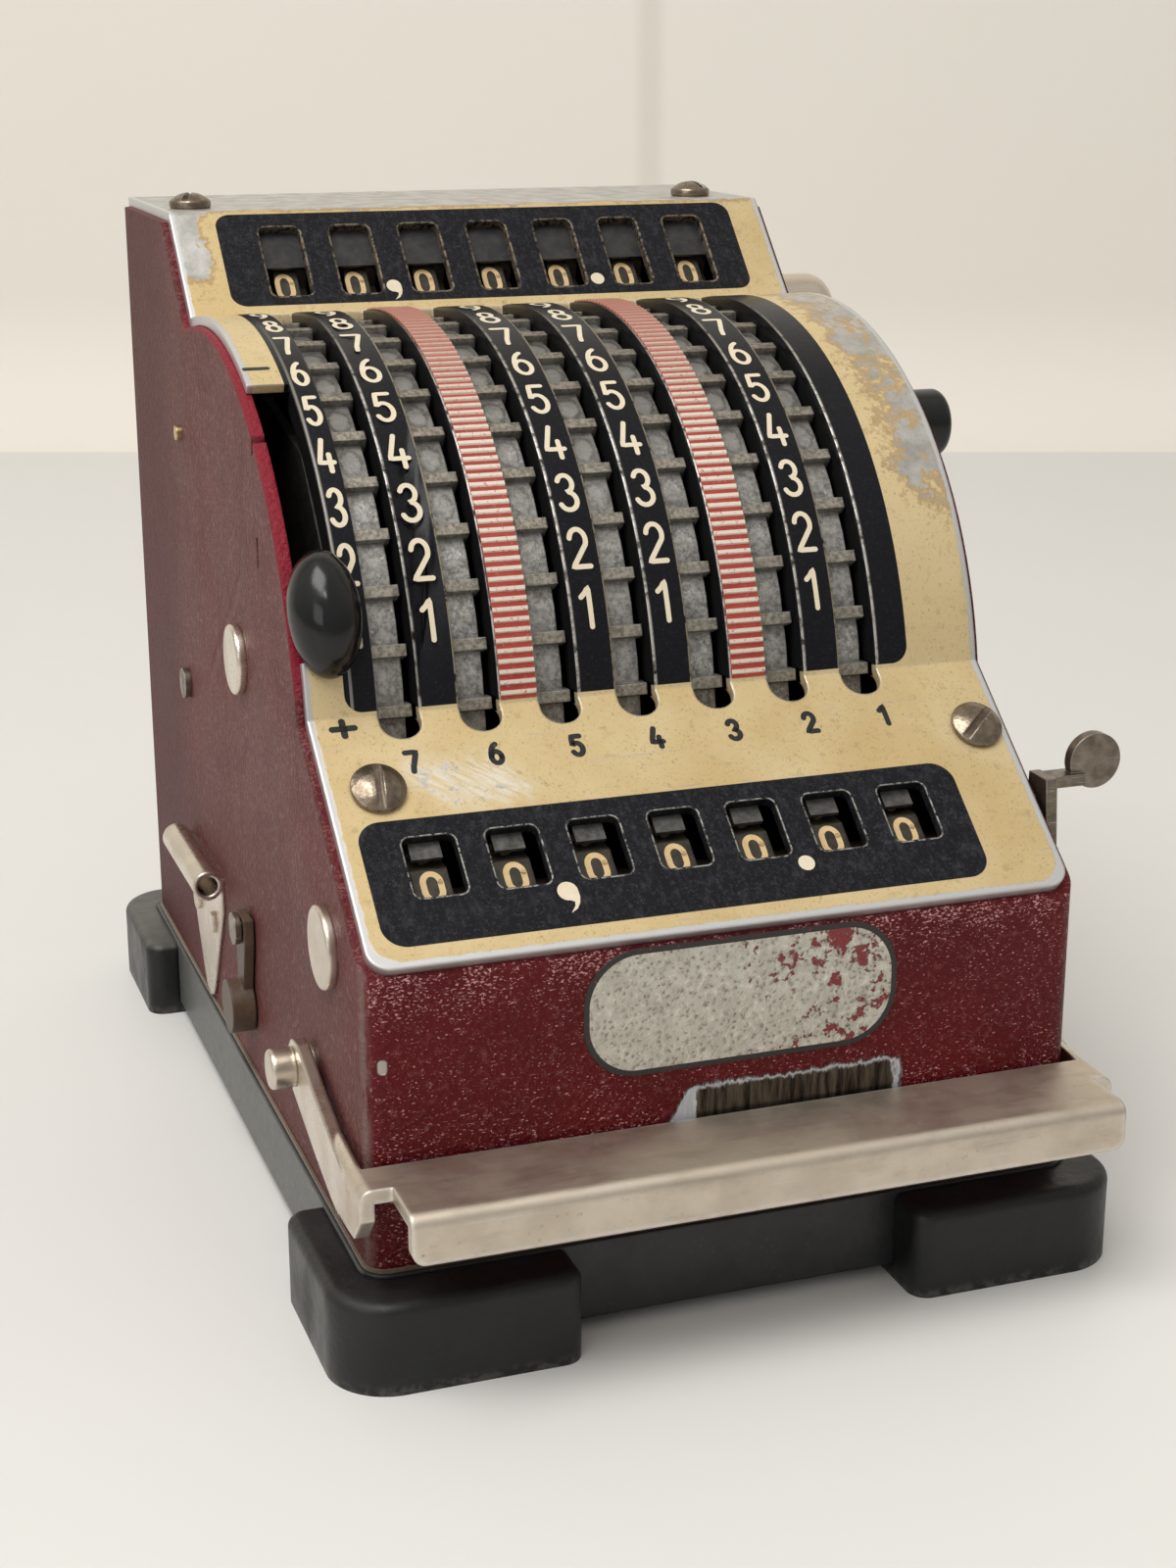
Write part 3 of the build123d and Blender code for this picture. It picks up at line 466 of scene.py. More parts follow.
scr = t.scratches(p, 0.55, 0.8)
fine_scr = t.scratches(t.shift(p, 31, 17, 5), 1.3, 0.6)
scr = t.most(scr, fine_scr) * t.step(t.noise(p, 0.09, 2), 0.40, 0.6)
bare = t.most(bare, scr * is_low)

# %% [markdown]
# The rim of the plate is bare and bright all round, and the edges are worn.

# %% Bright rim
rim_noise = (t.noise(p, 0.8, 4, 0.65) - 0.5) * 0.9
outline = t.panel(x, s_low, (0, 19.0), (52.6, 60.0), 5.0)
rim = t.step(outline["Distance"] + rim_noise, -1.15, -0.75) * is_low
side_rim = t.step(abs(x) + rim_noise * 1.2, 51.6, 52.0)
rim = t.most(rim, side_rim * t.inv(is_low))
bare = t.most(bare, rim, t.step(wear["Mask"], 0.12, 0.5))

# %% [markdown]
# The gold has stains, a grain and specks of dirt, and on the arc it is painted lighter as a
# highlight. Beside the first figure a thumb has rubbed it thin, in streaks that run down to the
# right.

# %% Gold lacquer
gold = t.mix(t.clouds(p, 0.06), (0.585, 0.435, 0.205), (0.66, 0.525, 0.295))
# Painted highlight: the arc gets a lighter gold, as if it caught more light.
gold = t.mix(is_arc * 0.5, gold, (0.74, 0.60, 0.35))
stain = t.clouds(p, 0.55, 0.56, 0.75)
gold = t.mix(stain * 0.40, gold, (0.33, 0.21, 0.085))
grain = t.step(t.noise(t.stretch(p, 1.6, 0.8, 0.8), 1.9, 5, 0.72), 0.57, 0.70)
gold = t.mix(grain * 0.62, gold, (0.24, 0.155, 0.065))
streak = t.noise(t.join((x + s_low * 1.3) * 1.9, (s_low - x) * 0.22, 0.0), 0.5, 5, 0.7)
rubbed = t.step(low_patch["Distance"], 2.2, -2.6) * is_low * t.step(streak, 0.36, 0.60)
gold = t.mix(rubbed * 0.85, gold, (0.70, 0.655, 0.56))
near_bare = t.step(bare_value, 0.58, 0.66) * t.inv(is_low)
gold = t.mix(near_bare * 0.55, gold, (0.30, 0.165, 0.06))
specks = t.specks(p, 1.6, 0.34, 0.66)
big_specks = t.specks(p, 0.75, 0.20, 0.52)
gold = t.mix(t.most(specks * 0.75, big_specks * 0.6), gold, (0.13, 0.09, 0.045))
metal = t.mix(t.clouds(p, 0.25, 0.35, 0.7), (0.60, 0.59, 0.56), (0.40, 0.39, 0.365))
metal = t.mix(t.step(t.noise(p, 1.6, 5, 0.7), 0.55, 0.7) * 0.5, metal, (0.40, 0.29, 0.15))
metal = t.mix(rim, metal, (0.66, 0.66, 0.66))
skin = t.mix(bare, gold, metal)

# %% [markdown]
# The black ink holds dust. Where a stylus has scraped along the slots its edge shows as a
# bright line on one side and a tan one on the other.

# %% Black ink and the slots' edges
dust = t.specks(p, 2.2, 0.36, 0.66)
ink = t.mix(dust * t.blend(is_arc, 0.34, 0.16), (0.0050, 0.0054, 0.0078), (0.20, 0.20, 0.205))
smear = t.clouds(t.stretch(p, 1, 0.5, 0.5), 0.9, 0.45, 0.8)
ink = t.mix(t.inv(is_arc) * (smear * 0.30), ink, (0.075, 0.078, 0.09))
mottle = t.step(t.noise(p, 1.7, 5, 0.75), 0.52, 0.68)
ink = t.mix(mottle * t.blend(is_arc, 0.26, 0.07), ink, (0.10, 0.10, 0.108))
slot_place = t.repeat(x - (FIRST_X + SLOT_W / 2 + 0.02), PITCH)
lip_noise = t.step(t.noise(p, 0.5, 4, 0.65), 0.30, 0.55)
lip_zone = t.step(angle, 84, 128) * is_arc
in_slots = t.step(x, FIRST_X + 1.0, FIRST_X + 2.0) * t.step(x, 37.0, 36.4)
lip = t.step(slot_place, 0.62, 0.30) * t.step(slot_place, -0.01, 0.05)
lip = lip * (lip_noise * lip_zone * in_slots)
knob_lip = t.step(x, -46.25, -46.15) * t.step(x, -45.6, -45.9) * (lip_zone * 0.6)
lip = t.most(lip, knob_lip)
far_side = PITCH - SLOT_W
far_lip = (t.step(slot_place, far_side - 0.30, far_side - 0.16)
           * t.step(slot_place, far_side + 0.05, far_side))
far_lip = far_lip * t.step(t.noise(p, 0.8, 4, 0.65), 0.34, 0.50)
far_lip = far_lip * (t.step(angle, 80, 92) * (is_arc * in_slots))
lip = lip * t.step(outward, -0.9, -0.4)

# %% [markdown]
# A thin worn line runs round each window. One rounded rectangle, counted again in every column,
# draws all seven.

# %% Lines around the windows
low_u = t.repeat(x - (FIRST_X - 0.7 - PITCH / 2), PITCH)
low_ring = t.panel(low_u, s_low, (PITCH / 2, -25.8), (3.8, 4.85), 1.2)["Distance"]
high_u = t.repeat(x - (FIRST_X + 4.5 - PITCH / 2), PITCH)
high_ring = t.panel(high_u, s_high, (PITCH / 2, 11.1), (3.45, 7.2), 1.2)["Distance"]
ring_noise = t.step(t.noise(p, 0.9, 5, 0.7), 0.42, 0.58)
low_line = t.step(low_ring, 0.34, 0.22) * t.step(low_ring, 0.02, 0.14) * is_low
high_line = t.step(high_ring, 0.40, 0.26) * t.step(high_ring, -0.2, 0.0) * is_high
low_span = t.step(x, FIRST_X - 6.6, FIRST_X - 6.5) * t.step(x, FIRST_X + 77.4, FIRST_X + 77.3)
high_span = t.step(x, FIRST_X - 1.4, FIRST_X - 1.3) * t.step(x, FIRST_X + 82.6, FIRST_X + 82.5)
low_line, high_line = (low_line * low_span, high_line * high_span)
window_line = t.most(low_line, high_line) * ring_noise

# %% [markdown]
# Masks choose between gold, metal and ink, the underside of the arc gets painted shade, and the
# shader gets its colour, shine and relief.

# %% The cover's finish
ink_bare = t.most(lip, t.step(fine_edge["Mask"], 0.2, 0.7) * 0.4)
ink_edge = t.mix(lip, (0.20, 0.17, 0.12), (0.60, 0.59, 0.56))
ink = t.mix(ink_bare, ink, ink_edge)
ink = t.mix(far_lip * 0.75, ink, (0.34, 0.29, 0.20))
ink = t.mix(window_line, ink, t.mix(is_low, (0.21, 0.17, 0.12), (0.40, 0.39, 0.36)))
color = t.mix(black, skin, ink)
# Painted shade: under the arc the plate is darkened nearly black.
underside_shade = t.step(outward, -1.4, -1.55)
color = t.mix(underside_shade * is_arc, color, (0.012, 0.012, 0.012))
metallic = t.blend(black, t.blend(bare, t.blend(rubbed, 0.45, 0.15), 0.85),
                   t.most(ink_bare, window_line) * 0.8)
rough = t.blend(black, t.blend(bare, 0.42, 0.36), t.blend(is_arc, 0.55, 0.27))
rough = rough + t.noise(p, 1.3, 4) * 0.12
height = t.noise(p, 0.9, 3) * 0.22 + t.noise(p, 2.6, 4, 0.7) * t.blend(black, 0.10, 0.30)
height = height + (bare * -0.25 + scr * -0.35)
dress(t, sh, color=color, metal=metallic, rough=rough,
      normal=t.bump(height, 0.35, 0.00014, wear["Normal"]),
      spec=t.blend(black, 0.5, t.blend(is_arc, 0.16, 0.17)), coat=black * is_arc * 0.06,
      coat_rough=0.12)

# %% [markdown]
# ## The painted housing
# Maroon wrinkle enamel. The sides have gone dull and greyish, partly with dust and partly by a
# painted sheen, and their wrinkle has painted shade in its valleys. The crests of the wrinkle carry
# a painted highlight, and on the front painted glints stand for small crests catching the light,
# most of them under the cover's edge.

# %% Wrinkle paint
paint_mat, t, sh = material("maroon_wrinkle_paint")
p = t.millimetres()
x, y, z = t.split(p)
wear = t.worn_edge(p, 0.0007, 0.8)
wrinkle = t.wrinkle(p)
tone = t.clouds(p, 0.05, 0.35, 0.7)
color = t.mix(tone, (0.082, 0.0016, 0.0040), (0.108, 0.0032, 0.0062))
on_side = t.step(x, -53.0, -53.7)
is_front = y < FRONT_Y + 0.8
# The sides are greyer: partly dust and partly a painted sheen.
side_dust_and_sheen = 0.30 + t.clouds(p, 0.035, 0.3, 0.75) * 0.35
color = t.mix(on_side * side_dust_and_sheen, color, (0.125, 0.060, 0.055))
# Painted highlight: the crests of the wrinkle are lighter, and on the sides also greyer.
crest_highlight = t.step(wrinkle, 0.62, 0.9)
color = t.mix(crest_highlight * t.blend(on_side, 0.20, 0.16), color, (0.36, 0.15, 0.15))
# Painted glints: bright specks on the front stand for small crests catching the light; crowd sets
# where they are thick.
crowd = t.most(t.step(z, 47, 60), t.step(z, 38, 30) * 0.30)
crowd = (crowd * 0.75 + 0.25) * t.step(t.noise(p, 0.16, 3), 0.28, 0.55)
glint_low = 0.645 - crowd * 0.125
glint = t.step(t.noise(t.stretch(p, 0.8, 1.0, 1.5), 2.2, 4, 0.68) - glint_low, 0.0, 0.035)
color = t.mix(glint * t.blend(is_front, 0.12, 0.75), color, (0.70, 0.38, 0.38))
# Painted shade: the valleys of the wrinkle on the sides are darker.
valley_shade = t.step(wrinkle, 0.50, 0.20) * on_side
color = t.mix(valley_shade * 0.45, color, (0.050, 0.018, 0.017))
color = t.mix(crest_highlight * on_side * 0.30, color, (0.27, 0.17, 0.155))
# The left side is darker towards the back.
rear_darkening = t.step(y, 28, 55) * on_side
color = t.mix(rear_darkening * 0.62, color, (0.062, 0.012, 0.014))
bend = t.step(x, -52.4, -53.6) * t.step(y, FRONT_Y + 3.4, FRONT_Y + 1.4)
bend = bend * t.step(t.noise(t.stretch(p, 1.0, 1.0, 0.2), 0.8, 4, 0.6), 0.32, 0.55)
color = t.mix(bend * 0.5, color, (0.24, 0.18, 0.165))

# %% [markdown]
# Low on the front the paint is scraped off, with a slant at the left end. A rounded patch of
# grey primer lies under a smaller one of streaked dark metal.

# %% Scraped patch
jag = (t.noise(t.stretch(p, 1, 1, 0.35), 0.75, 5, 0.7) - 0.5) * 3.0
lean = (35 - z) * 0.55 * t.step(x, 6, 0)
patch = t.panel(x + jag + lean, z + jag, (9.4, 27.0), (16.6, 8.2), 1.0, 0.25)
core = t.panel(x + jag * 1.3, z + jag * 0.9, (9.4, 26.6), (15.4, 8.0), 0.8, 0.3)
patch_mask = patch["Mask"] * is_front
core_mask = core["Mask"] * is_front
primer = t.mix(t.noise(t.stretch(p, 1, 1, 0.3), 1.2, 4), (0.22, 0.25, 0.30), (0.62, 0.62, 0.62))
streak = t.noise(t.stretch(p, 1.0, 1.0, 0.12), 0.75, 5, 0.65)
scraped = t.mix(t.step(streak, 0.35, 0.68), (0.018, 0.014, 0.012), (0.15, 0.125, 0.10))
color = t.mix(patch_mask, color, primer)
color = t.mix(core_mask, color, scraped)

# %% [markdown]
# Chips sit on the corners, with a few single ones. A rim beside the arc has kept its crimson,
# and a crease is pressed into the left side.

# %% Chips, crimson rim and crease
chip_noise = t.noise(p, 0.5, 5, 0.7)
chip = t.step(wear["Mask"], 0.25, 0.6) * t.step(chip_noise, 0.58, 0.66)
one = t.panel(x, z, (-51.3, 44.5), (0.7, 1.1), 0.6, 0.15)
chip = t.most(chip, one["Mask"] * is_front)
specks = t.specks(p, 0.22, 0.10, 0.42)
chip = t.most(chip, specks * 0.7)
color = t.mix(chip, color, (0.42, 0.36, 0.33))
reach = t.about_arc(y, z)[1] - ARC_R
clean_rim = t.step(reach, -2.6, -1.6) * t.step(reach, 3, 1)
clean_rim = clean_rim * (t.step(x, -50, -52) * t.step(y, 32, 20) * t.step(z, 84, 92))
color = t.mix(clean_rim * 0.8, color, (0.26, 0.012, 0.028))
metallic = t.most(core_mask * 0.85, chip * 0.5)
rough = t.blend(core_mask, t.blend(on_side, 0.34, 0.46) + t.noise(p, 2.0, 2) * 0.16, 0.38)
slant = (y - -5) * 0.62 + (z - 92) * 0.78
crease = t.step(abs(slant), 1.6, 0.2) * on_side * (t.step(y, -16, -10) * t.step(y, 20, 10))
height = wrinkle * (1.0 - t.most(patch_mask, chip)) + t.most(patch_mask, chip) * -1.2
height = height + crease * -1.0
dress(t, sh, color=color, metal=metallic, rough=rough,
      normal=t.bump(height, 0.9, 0.00042, wear["Normal"]), spec=t.blend(on_side, 0.20, 0.20))

# %% [markdown]
# ## Metals
# The bar, studs, clip and the nickel knob are plated, with brush marks, pits and stains. The bar in
# front is rubbed dull by hands and takes a warmer tone, partly a painted reflection of the red
# front, and its bend carries a painted highlight over worn scratches.

# %% Worn nickel
nickel_mat, t, sh = material("worn_nickel")
p = t.millimetres()
wear = t.worn_edge(p, 0.0007, 0.3)
cloud = t.clouds(p, 0.12, 0.32, 0.7)
tone = t.mix(cloud, (0.74, 0.655, 0.555), (0.60, 0.52, 0.43))
brush = t.noise(t.stretch(p, 0.12, 2.2, 2.2), 1.0, 4, 0.6)
tone = t.mix(brush * 0.30, tone, (0.76, 0.70, 0.62))
pits = t.specks(p, 0.75, 0.26, 0.60)
spots = t.specks(p, 0.10, 0.16, 0.6)
tone = t.mix(pits * 0.65, tone, (0.12, 0.09, 0.07))
tone = t.mix(spots * 0.5, tone, (0.22, 0.17, 0.13))
scr = t.scratches(p, 0.6, 0.6)
tone = t.mix(t.most(scr, wear["Mask"] * 0.6), tone, (0.74, 0.72, 0.69))
on_bar = t.step(t.split(p)[1], FRONT_Y + 1.0, FRONT_Y - 0.5)
# Partly painted reflection: the bar takes a warmer, darker tone, as if it mirrored the red front.
tone = t.mix(on_bar * 0.30, tone, (0.52, 0.43, 0.335))
stain = t.clouds(t.stretch(p, 0.35, 1.0, 1.0), 0.30, 0.48, 0.70)
tone = t.mix(on_bar * stain * 0.30, tone, (0.34, 0.27, 0.20))
# Painted highlight along the bend of the bar, mixed with its worn edge.
bend_wear_and_highlight = t.worn_edge(t.stretch(p, 0.4, 1.0, 1.0), 0.0015, 0.55)["Mask"]
tone = t.mix(on_bar * bend_wear_and_highlight * 0.75, tone, (0.88, 0.85, 0.80))
rough = t.blend(cloud, t.blend(on_bar, 0.20, 0.40), t.blend(on_bar, 0.30, 0.50))
rough = rough + (pits * 0.25 + brush * 0.08)
height = brush * 0.3 + pits * -1.0
dress(t, sh, color=tone, metal=1.0, rough=rough,
      normal=t.bump(height + scr * -0.5, 0.3, 0.0001, wear["Normal"]))

# %% [markdown]
# Screws and the right lever are plain steel gone brown, with painted shade in the corners.

# %% Steel
steel_mat, t, sh = material("grey_steel")
p = t.millimetres()
wear = t.worn_edge(p, 0.0003, 0.3)
cloud = t.clouds(p, 0.5)
tone = t.mix(cloud, (0.25, 0.212, 0.172), (0.145, 0.118, 0.092))
# Painted shade: corners and hollows are darkened by the occlusion.
darkening = t.crevice(0.0012)
tone = t.mix(t.step(darkening, 0.75, 0.25), tone, (0.05, 0.042, 0.035))
scr = t.scratches(p, 1.5, 0.7)
tone = t.mix(t.most(scr, wear["Mask"] * 0.7), tone, (0.55, 0.51, 0.46))
dress(t, sh, color=tone, metal=0.92, rough=t.blend(cloud, 0.27, 0.42),
      normal=t.bump(t.noise(p, 2.0, 4), 0.2, 0.00008, wear["Normal"]))

# %% [markdown]
# The setting wheels are die-cast. Between two ribs each has a shallow arch with a dark rim, the
# metal low on the wheel carries painted highlights, and painted shade sits beside the ribs and deep
# inside the wheel. The angle about the axis gives the place between two ribs.

# %% Die-cast wheels
wheel_mat, t, sh = material("die_cast_wheels")
p = t.millimetres()
x, y, z = t.split(p)
wear = t.worn_edge(p, 0.0003, 0.35)
angle, radius = t.about_arc(y, z)
turn = t.math("FRACT", t.math("DIVIDE", angle - RIB_FIRST, DIGIT_STEP) + 40.0)
across = t.repeat(x - FIRST_X + (4.0 + PITCH * 4), PITCH)
du = t.math("DIVIDE", across - 3.55, 1.75)
dv = t.math("DIVIDE", turn - 0.5, 0.30)
arch = t.math("SQRT", du * du + dv * dv) + (t.noise(p, 0.9, 4, 0.6) - 0.5) * 0.9
arch_rim = t.step(arch, 1.15, 0.95) * t.step(arch, 0.6, 0.9)
arch_in = t.step(arch, 0.95, 0.7)
base = t.mix(t.clouds(p, 0.5), (0.135, 0.127, 0.114), (0.29, 0.28, 0.26))
base = t.mix(arch_in * 0.5, base, (0.33, 0.325, 0.305))
base = t.mix(arch_rim * 0.5, base, (0.055, 0.05, 0.045))
# Painted highlights: bright glints and lighter metal low on the wheel, as if it caught the light
# there.
glint_spots = (t.step(t.noise(p, 1.7, 5, 0.7), 0.50, 0.66)
         * t.step(t.noise(t.shift(p, 7, 3, 9), 0.16, 2), 0.42, 0.62))
low_glint = t.step(angle, 118, 150) * 0.8 + 0.2
low_highlight = t.mix(t.step(t.noise(p, 1.1, 5, 0.7), 0.36, 0.62),
                 (0.20, 0.195, 0.18), (0.56, 0.545, 0.515))
base = t.mix(t.step(angle, 122, 152) * 0.55, base, low_highlight)
base = t.mix(glint_spots * low_glint * 0.85, base, (0.64, 0.63, 0.61))
rib = t.step(abs(t.math("FRACT", turn + 0.5) - 0.5), 0.17, 0.13)
rib_top = rib * t.step(radius, 58.5, 58.9)
rib_tone = t.mix(t.step(t.noise(p, 1.5, 4), 0.35, 0.65), (0.16, 0.135, 0.10), (0.40, 0.36, 0.29))
base = t.mix(rib_top * 0.72, base, rib_tone)
base = t.mix(wear["Mask"] * 0.55, base, (0.42, 0.40, 0.37))
# Painted shade: the corners beside the ribs are darkened nearly black.
crevice_occlusion = t.crevice(0.0016)
base = t.mix(t.step(crevice_occlusion, 0.8, 0.3) * 0.8, base, (0.02, 0.018, 0.016))
# Painted shade: deep inside the wheel, below the rim, is nearly black.
inside = t.step(radius, 57.2, 56.4)
base = t.mix(inside, base, (0.02, 0.019, 0.018))
dress(t, sh, color=base, metal=0.75, rough=0.38 + t.noise(p, 1.1, 3) * 0.25,
      normal=t.bump(t.noise(p, 2.6, 5, 0.7), 0.55, 0.00018, wear["Normal"]))

# %% [markdown]
# What shows through the slots and windows is dark: shafts, frames, the spring fingers, the mask
# behind the upper windows and the drums' flats. The near-black steel of the shafts and frames is
# painted shade.

# %% Dark metals and drums
# Painted shade: shafts and frames inside get a near-black steel, as the inside of the machine is in
# shade.
dark_metal_mat, t, sh = material("dark_inner_metal")
p = t.millimetres()
tone = t.mix(t.clouds(p, 0.6), (0.022, 0.021, 0.02), (0.055, 0.052, 0.048))
dress(t, sh, color=tone, metal=0.6, rough=0.42 + t.noise(p, 1.5, 3) * 0.2,
      normal=t.bump(t.noise(p, 3.0, 3), 0.3, 0.0001, t.soft_edge(0.0003)))

leaf_mat, t, sh = material("detent_leaf_metal")
p = t.millimetres()
tone = t.mix(t.clouds(p, 0.8), (0.07, 0.068, 0.065), (0.15, 0.145, 0.14))
dress(t, sh, color=tone, metal=0.7, rough=0.45, normal=t.bump(t.noise(p, 3.0, 3), 0.3, 0.0001))

mask_mat, t, sh = material("window_mask_grey")
p = t.millimetres()
tone = t.mix(t.clouds(p, 0.5, 0.3, 0.75), (0.020, 0.020, 0.022), (0.045, 0.043, 0.042))
dress(t, sh, color=tone, metal=0.3, rough=0.4, normal=t.bump(t.noise(p, 2.0, 4), 0.3, 0.0001))

drum_mat, t, sh = material("drum_facets")
p = t.millimetres()
wear = t.worn_edge(p, 0.0003, 0.4)
tone = t.mix(t.clouds(p, 0.7), (0.019, 0.016, 0.011), (0.050, 0.041, 0.027))
tone = t.mix(wear["Mask"] * 0.35, tone, (0.13, 0.11, 0.085))
dress(t, sh, color=tone, metal=0.2, rough=0.35 + t.noise(p, 1.5, 3) * 0.2,
      normal=t.bump(t.noise(p, 2.5, 3), 0.3, 0.0001, wear["Normal"]))

# %% [markdown]
# One small pin in the left wall is brass.

# %% Brass
brass_mat, t, sh = material("brass_pin")
p = t.millimetres()
tone = t.mix(t.noise(p, 1.5, 4), (0.50, 0.36, 0.15), (0.68, 0.55, 0.30))
dress(t, sh, color=tone, metal=1.0, rough=0.3,
      normal=t.bump(t.noise(p, 2.5, 3), 0.2, 0.0001, t.soft_edge(0.0004)))

# %% [markdown]
# ## Rubber, enamel and plastics
# The feet are black rubber, lighter on their tops, and the base between them is black enamel,
# greyer on its left face with dust and a painted sheen.

# %% Rubber and base
rubber_mat, t, sh = material("foot_rubber")
p = t.millimetres()
x, y, z = t.split(p)
dusty = t.clouds(p, 0.12, 0.35, 0.75)
tone = t.mix(dusty, (0.0065, 0.0068, 0.0072), (0.014, 0.0142, 0.0145))
# The tops of the feet are lighter, most on the rear feet.
lighter_tops = t.step(z, 12.4, 13.5) * t.blend(t.step(y, -20, 40), 0.04, 0.7)
tone = t.mix(lighter_tops * (0.5 + t.noise(p, 0.5, 4) * 0.5), tone, (0.13, 0.13, 0.115))
scuff = t.specks(p, 0.9, 0.25, 0.5)
tone = t.mix(scuff * 0.25, tone, (0.10, 0.095, 0.09))
skirt = t.step(z, 2.0, 0.2) * t.step(t.noise(p, 0.7, 4), 0.4, 0.6)
tone = t.mix(skirt * 0.5, tone, (0.12, 0.11, 0.10))
dress(t, sh, color=tone, rough=0.34 + dusty * 0.2, spec=0.36,
      normal=t.bump(t.noise(p, 0.22, 3) * 1.5 + t.noise(p, 2.2, 4) * 0.3, 0.3, 0.0005,
                    t.soft_edge(0.0012)))

base_mat, t, sh = material("base_enamel")
p = t.millimetres()
tone = t.mix(t.clouds(p, 0.15), (0.009, 0.009, 0.010), (0.02, 0.02, 0.021))
grit = t.specks(p, 0.9, 0.3, 0.55)
tone = t.mix(grit * 0.3, tone, (0.16, 0.14, 0.12))
# The left face of the base is lighter grey: partly dust and partly a painted sheen.
left_dust_and_sheen = t.step(t.split(p)[0], -54.2, -54.7) * (0.35 + t.noise(p, 0.3, 4) * 0.5)
tone = t.mix(left_dust_and_sheen, tone, (0.115, 0.118, 0.11))
dress(t, sh, color=tone, rough=0.30 + t.noise(p, 0.8, 3) * 0.2,
      normal=t.bump(t.noise(p, 1.4, 4), 0.25, 0.0002, t.soft_edge(0.0006)))

# %% [markdown]
# The knobs are glossy black, the tab on the left is painted dark brown as shade and a reflection of
# the dark body, and felt lies over the base.

# %% Knobs, tab and felt
gloss_mat, t, sh = material("black_gloss_knob")
p = t.millimetres()
smear = t.clouds(p, 0.25, 0.35, 0.7)
pores = t.specks(p, 1.4, 0.25, 0.5)
tone = t.mix(pores * 0.3, (0.008, 0.008, 0.0085), (0.06, 0.055, 0.05))
dress(t, sh, color=tone, rough=t.blend(smear, 0.13, 0.24), spec=0.38,
      normal=t.bump(t.noise(p, 1.6, 3), 0.12, 0.0001))

# Painted shade: the left tab is given a dark brown, as if in shade and mirroring the dark body.
tab_shade_mat, t, sh = material("left_tab_painted_shade")
p = t.millimetres()
tone = t.mix(t.noise(p, 0.9, 5, 0.65), (0.035, 0.018, 0.012), (0.12, 0.075, 0.045))
dress(t, sh, color=tone, rough=0.45,
      normal=t.bump(t.noise(p, 2.0, 4), 0.3, 0.0001, t.soft_edge(0.0005)))

gasket_mat, t, sh = material("gasket_felt")
p = t.millimetres()
tone = t.mix(t.noise(p, 1.2, 5, 0.7), (0.06, 0.035, 0.02), (0.22, 0.15, 0.09))
dress(t, sh, color=tone, rough=0.85, normal=t.bump(t.noise(p, 4.0, 4), 0.6, 0.0002), sheen=0.3)

# %% [markdown]
# ## Printed figures and red ridges
# Cream on the strips, amber on the drums and black on the gold. The paint on the ridges is paler
# towards the top, and their crests are bare.

# %% Figures and ridges
cream_mat, t, sh = material("cream_figures")
p = t.millimetres()
tone = t.mix(t.noise(p, 0.7, 4, 0.6), (0.66, 0.565, 0.40), (0.76, 0.68, 0.53))
darkening = t.step(t.noise(p, 2.6, 4, 0.7), 0.58, 0.74)
tone = t.mix(darkening * 0.5, tone, (0.38, 0.30, 0.20))
dress(t, sh, color=tone, rough=0.5, normal=t.bump(t.noise(p, 3.0, 3), 0.3, 0.00005))

amber_mat, t, sh = material("amber_figures")
p = t.millimetres()
tone = t.mix(t.noise(p, 0.8, 4, 0.6), (0.60, 0.40, 0.165), (0.76, 0.58, 0.33))
darkening = t.step(t.noise(p, 2.2, 4, 0.7), 0.55, 0.72)
tone = t.mix(darkening * 0.55, tone, (0.30, 0.19, 0.08))
dress(t, sh, color=tone, rough=0.5, normal=t.bump(t.noise(p, 3.0, 3), 0.3, 0.00005))

label_mat, t, sh = material("black_figures")
p = t.millimetres()
thin = t.step(t.noise(p, 2.0, 5, 0.7), 0.62, 0.74)
tone = t.mix(thin * 0.7, (0.008, 0.008, 0.009), (0.45, 0.36, 0.2))
dress(t, sh, color=tone, rough=0.4, normal=t.bump(t.noise(p, 3.0, 3), 0.2, 0.00005))

red_mat, t, sh = material("red_ridge_paint")
p = t.millimetres()
x, y, z = t.split(p)
fade = t.clouds(p, 0.12, 0.3, 0.75)
tone = t.mix(fade, (0.31, 0.030, 0.022), (0.40, 0.060, 0.042))
# The red is paler towards the top of the arc.
paler_upward = t.step(y, -38, 12)
tone = t.mix(paler_upward * 0.60, tone, (0.47, 0.135, 0.10))
worn = t.step(t.noise(p, 2.2, 5, 0.7), 0.60, 0.70)
tone = t.mix(worn * 0.5, tone, (0.68, 0.55, 0.50))
dress(t, sh, color=tone, rough=0.34, normal=t.bump(t.noise(p, 2.5, 4), 0.3, 0.00006))

crest_mat, t, sh = material("bare_ridge_crests")
p = t.millimetres()
x, y, z = t.split(p)
keep = t.step(t.noise(p, 1.6, 5, 0.7), 0.56, 0.66)
tone = t.mix(keep, (0.80, 0.73, 0.62), (0.52, 0.19, 0.15))
tone = t.mix(t.step(y, -34, 6) * 0.88, tone, (0.46, 0.17, 0.118))
dress(t, sh, color=tone, metal=t.blend(keep, 0.35, 0.1), rough=0.34,
      normal=t.bump(t.noise(p, 2.5, 4), 0.3, 0.00006))

# %% [markdown]
# The badge on the front is silver paint over the wrinkle, flaking at the right, with a dark
# outline. Its wrinkle has painted shade in the valleys and painted glints on the crests.

# %% Badge paint
badge_mat, t, sh = material("silver_badge_paint")
p = t.millimetres()
x, y, z = t.split(p)
wrinkle = t.wrinkle(p)
tone = t.mix(t.clouds(p, 0.3), (0.60, 0.575, 0.50), (0.48, 0.455, 0.395))
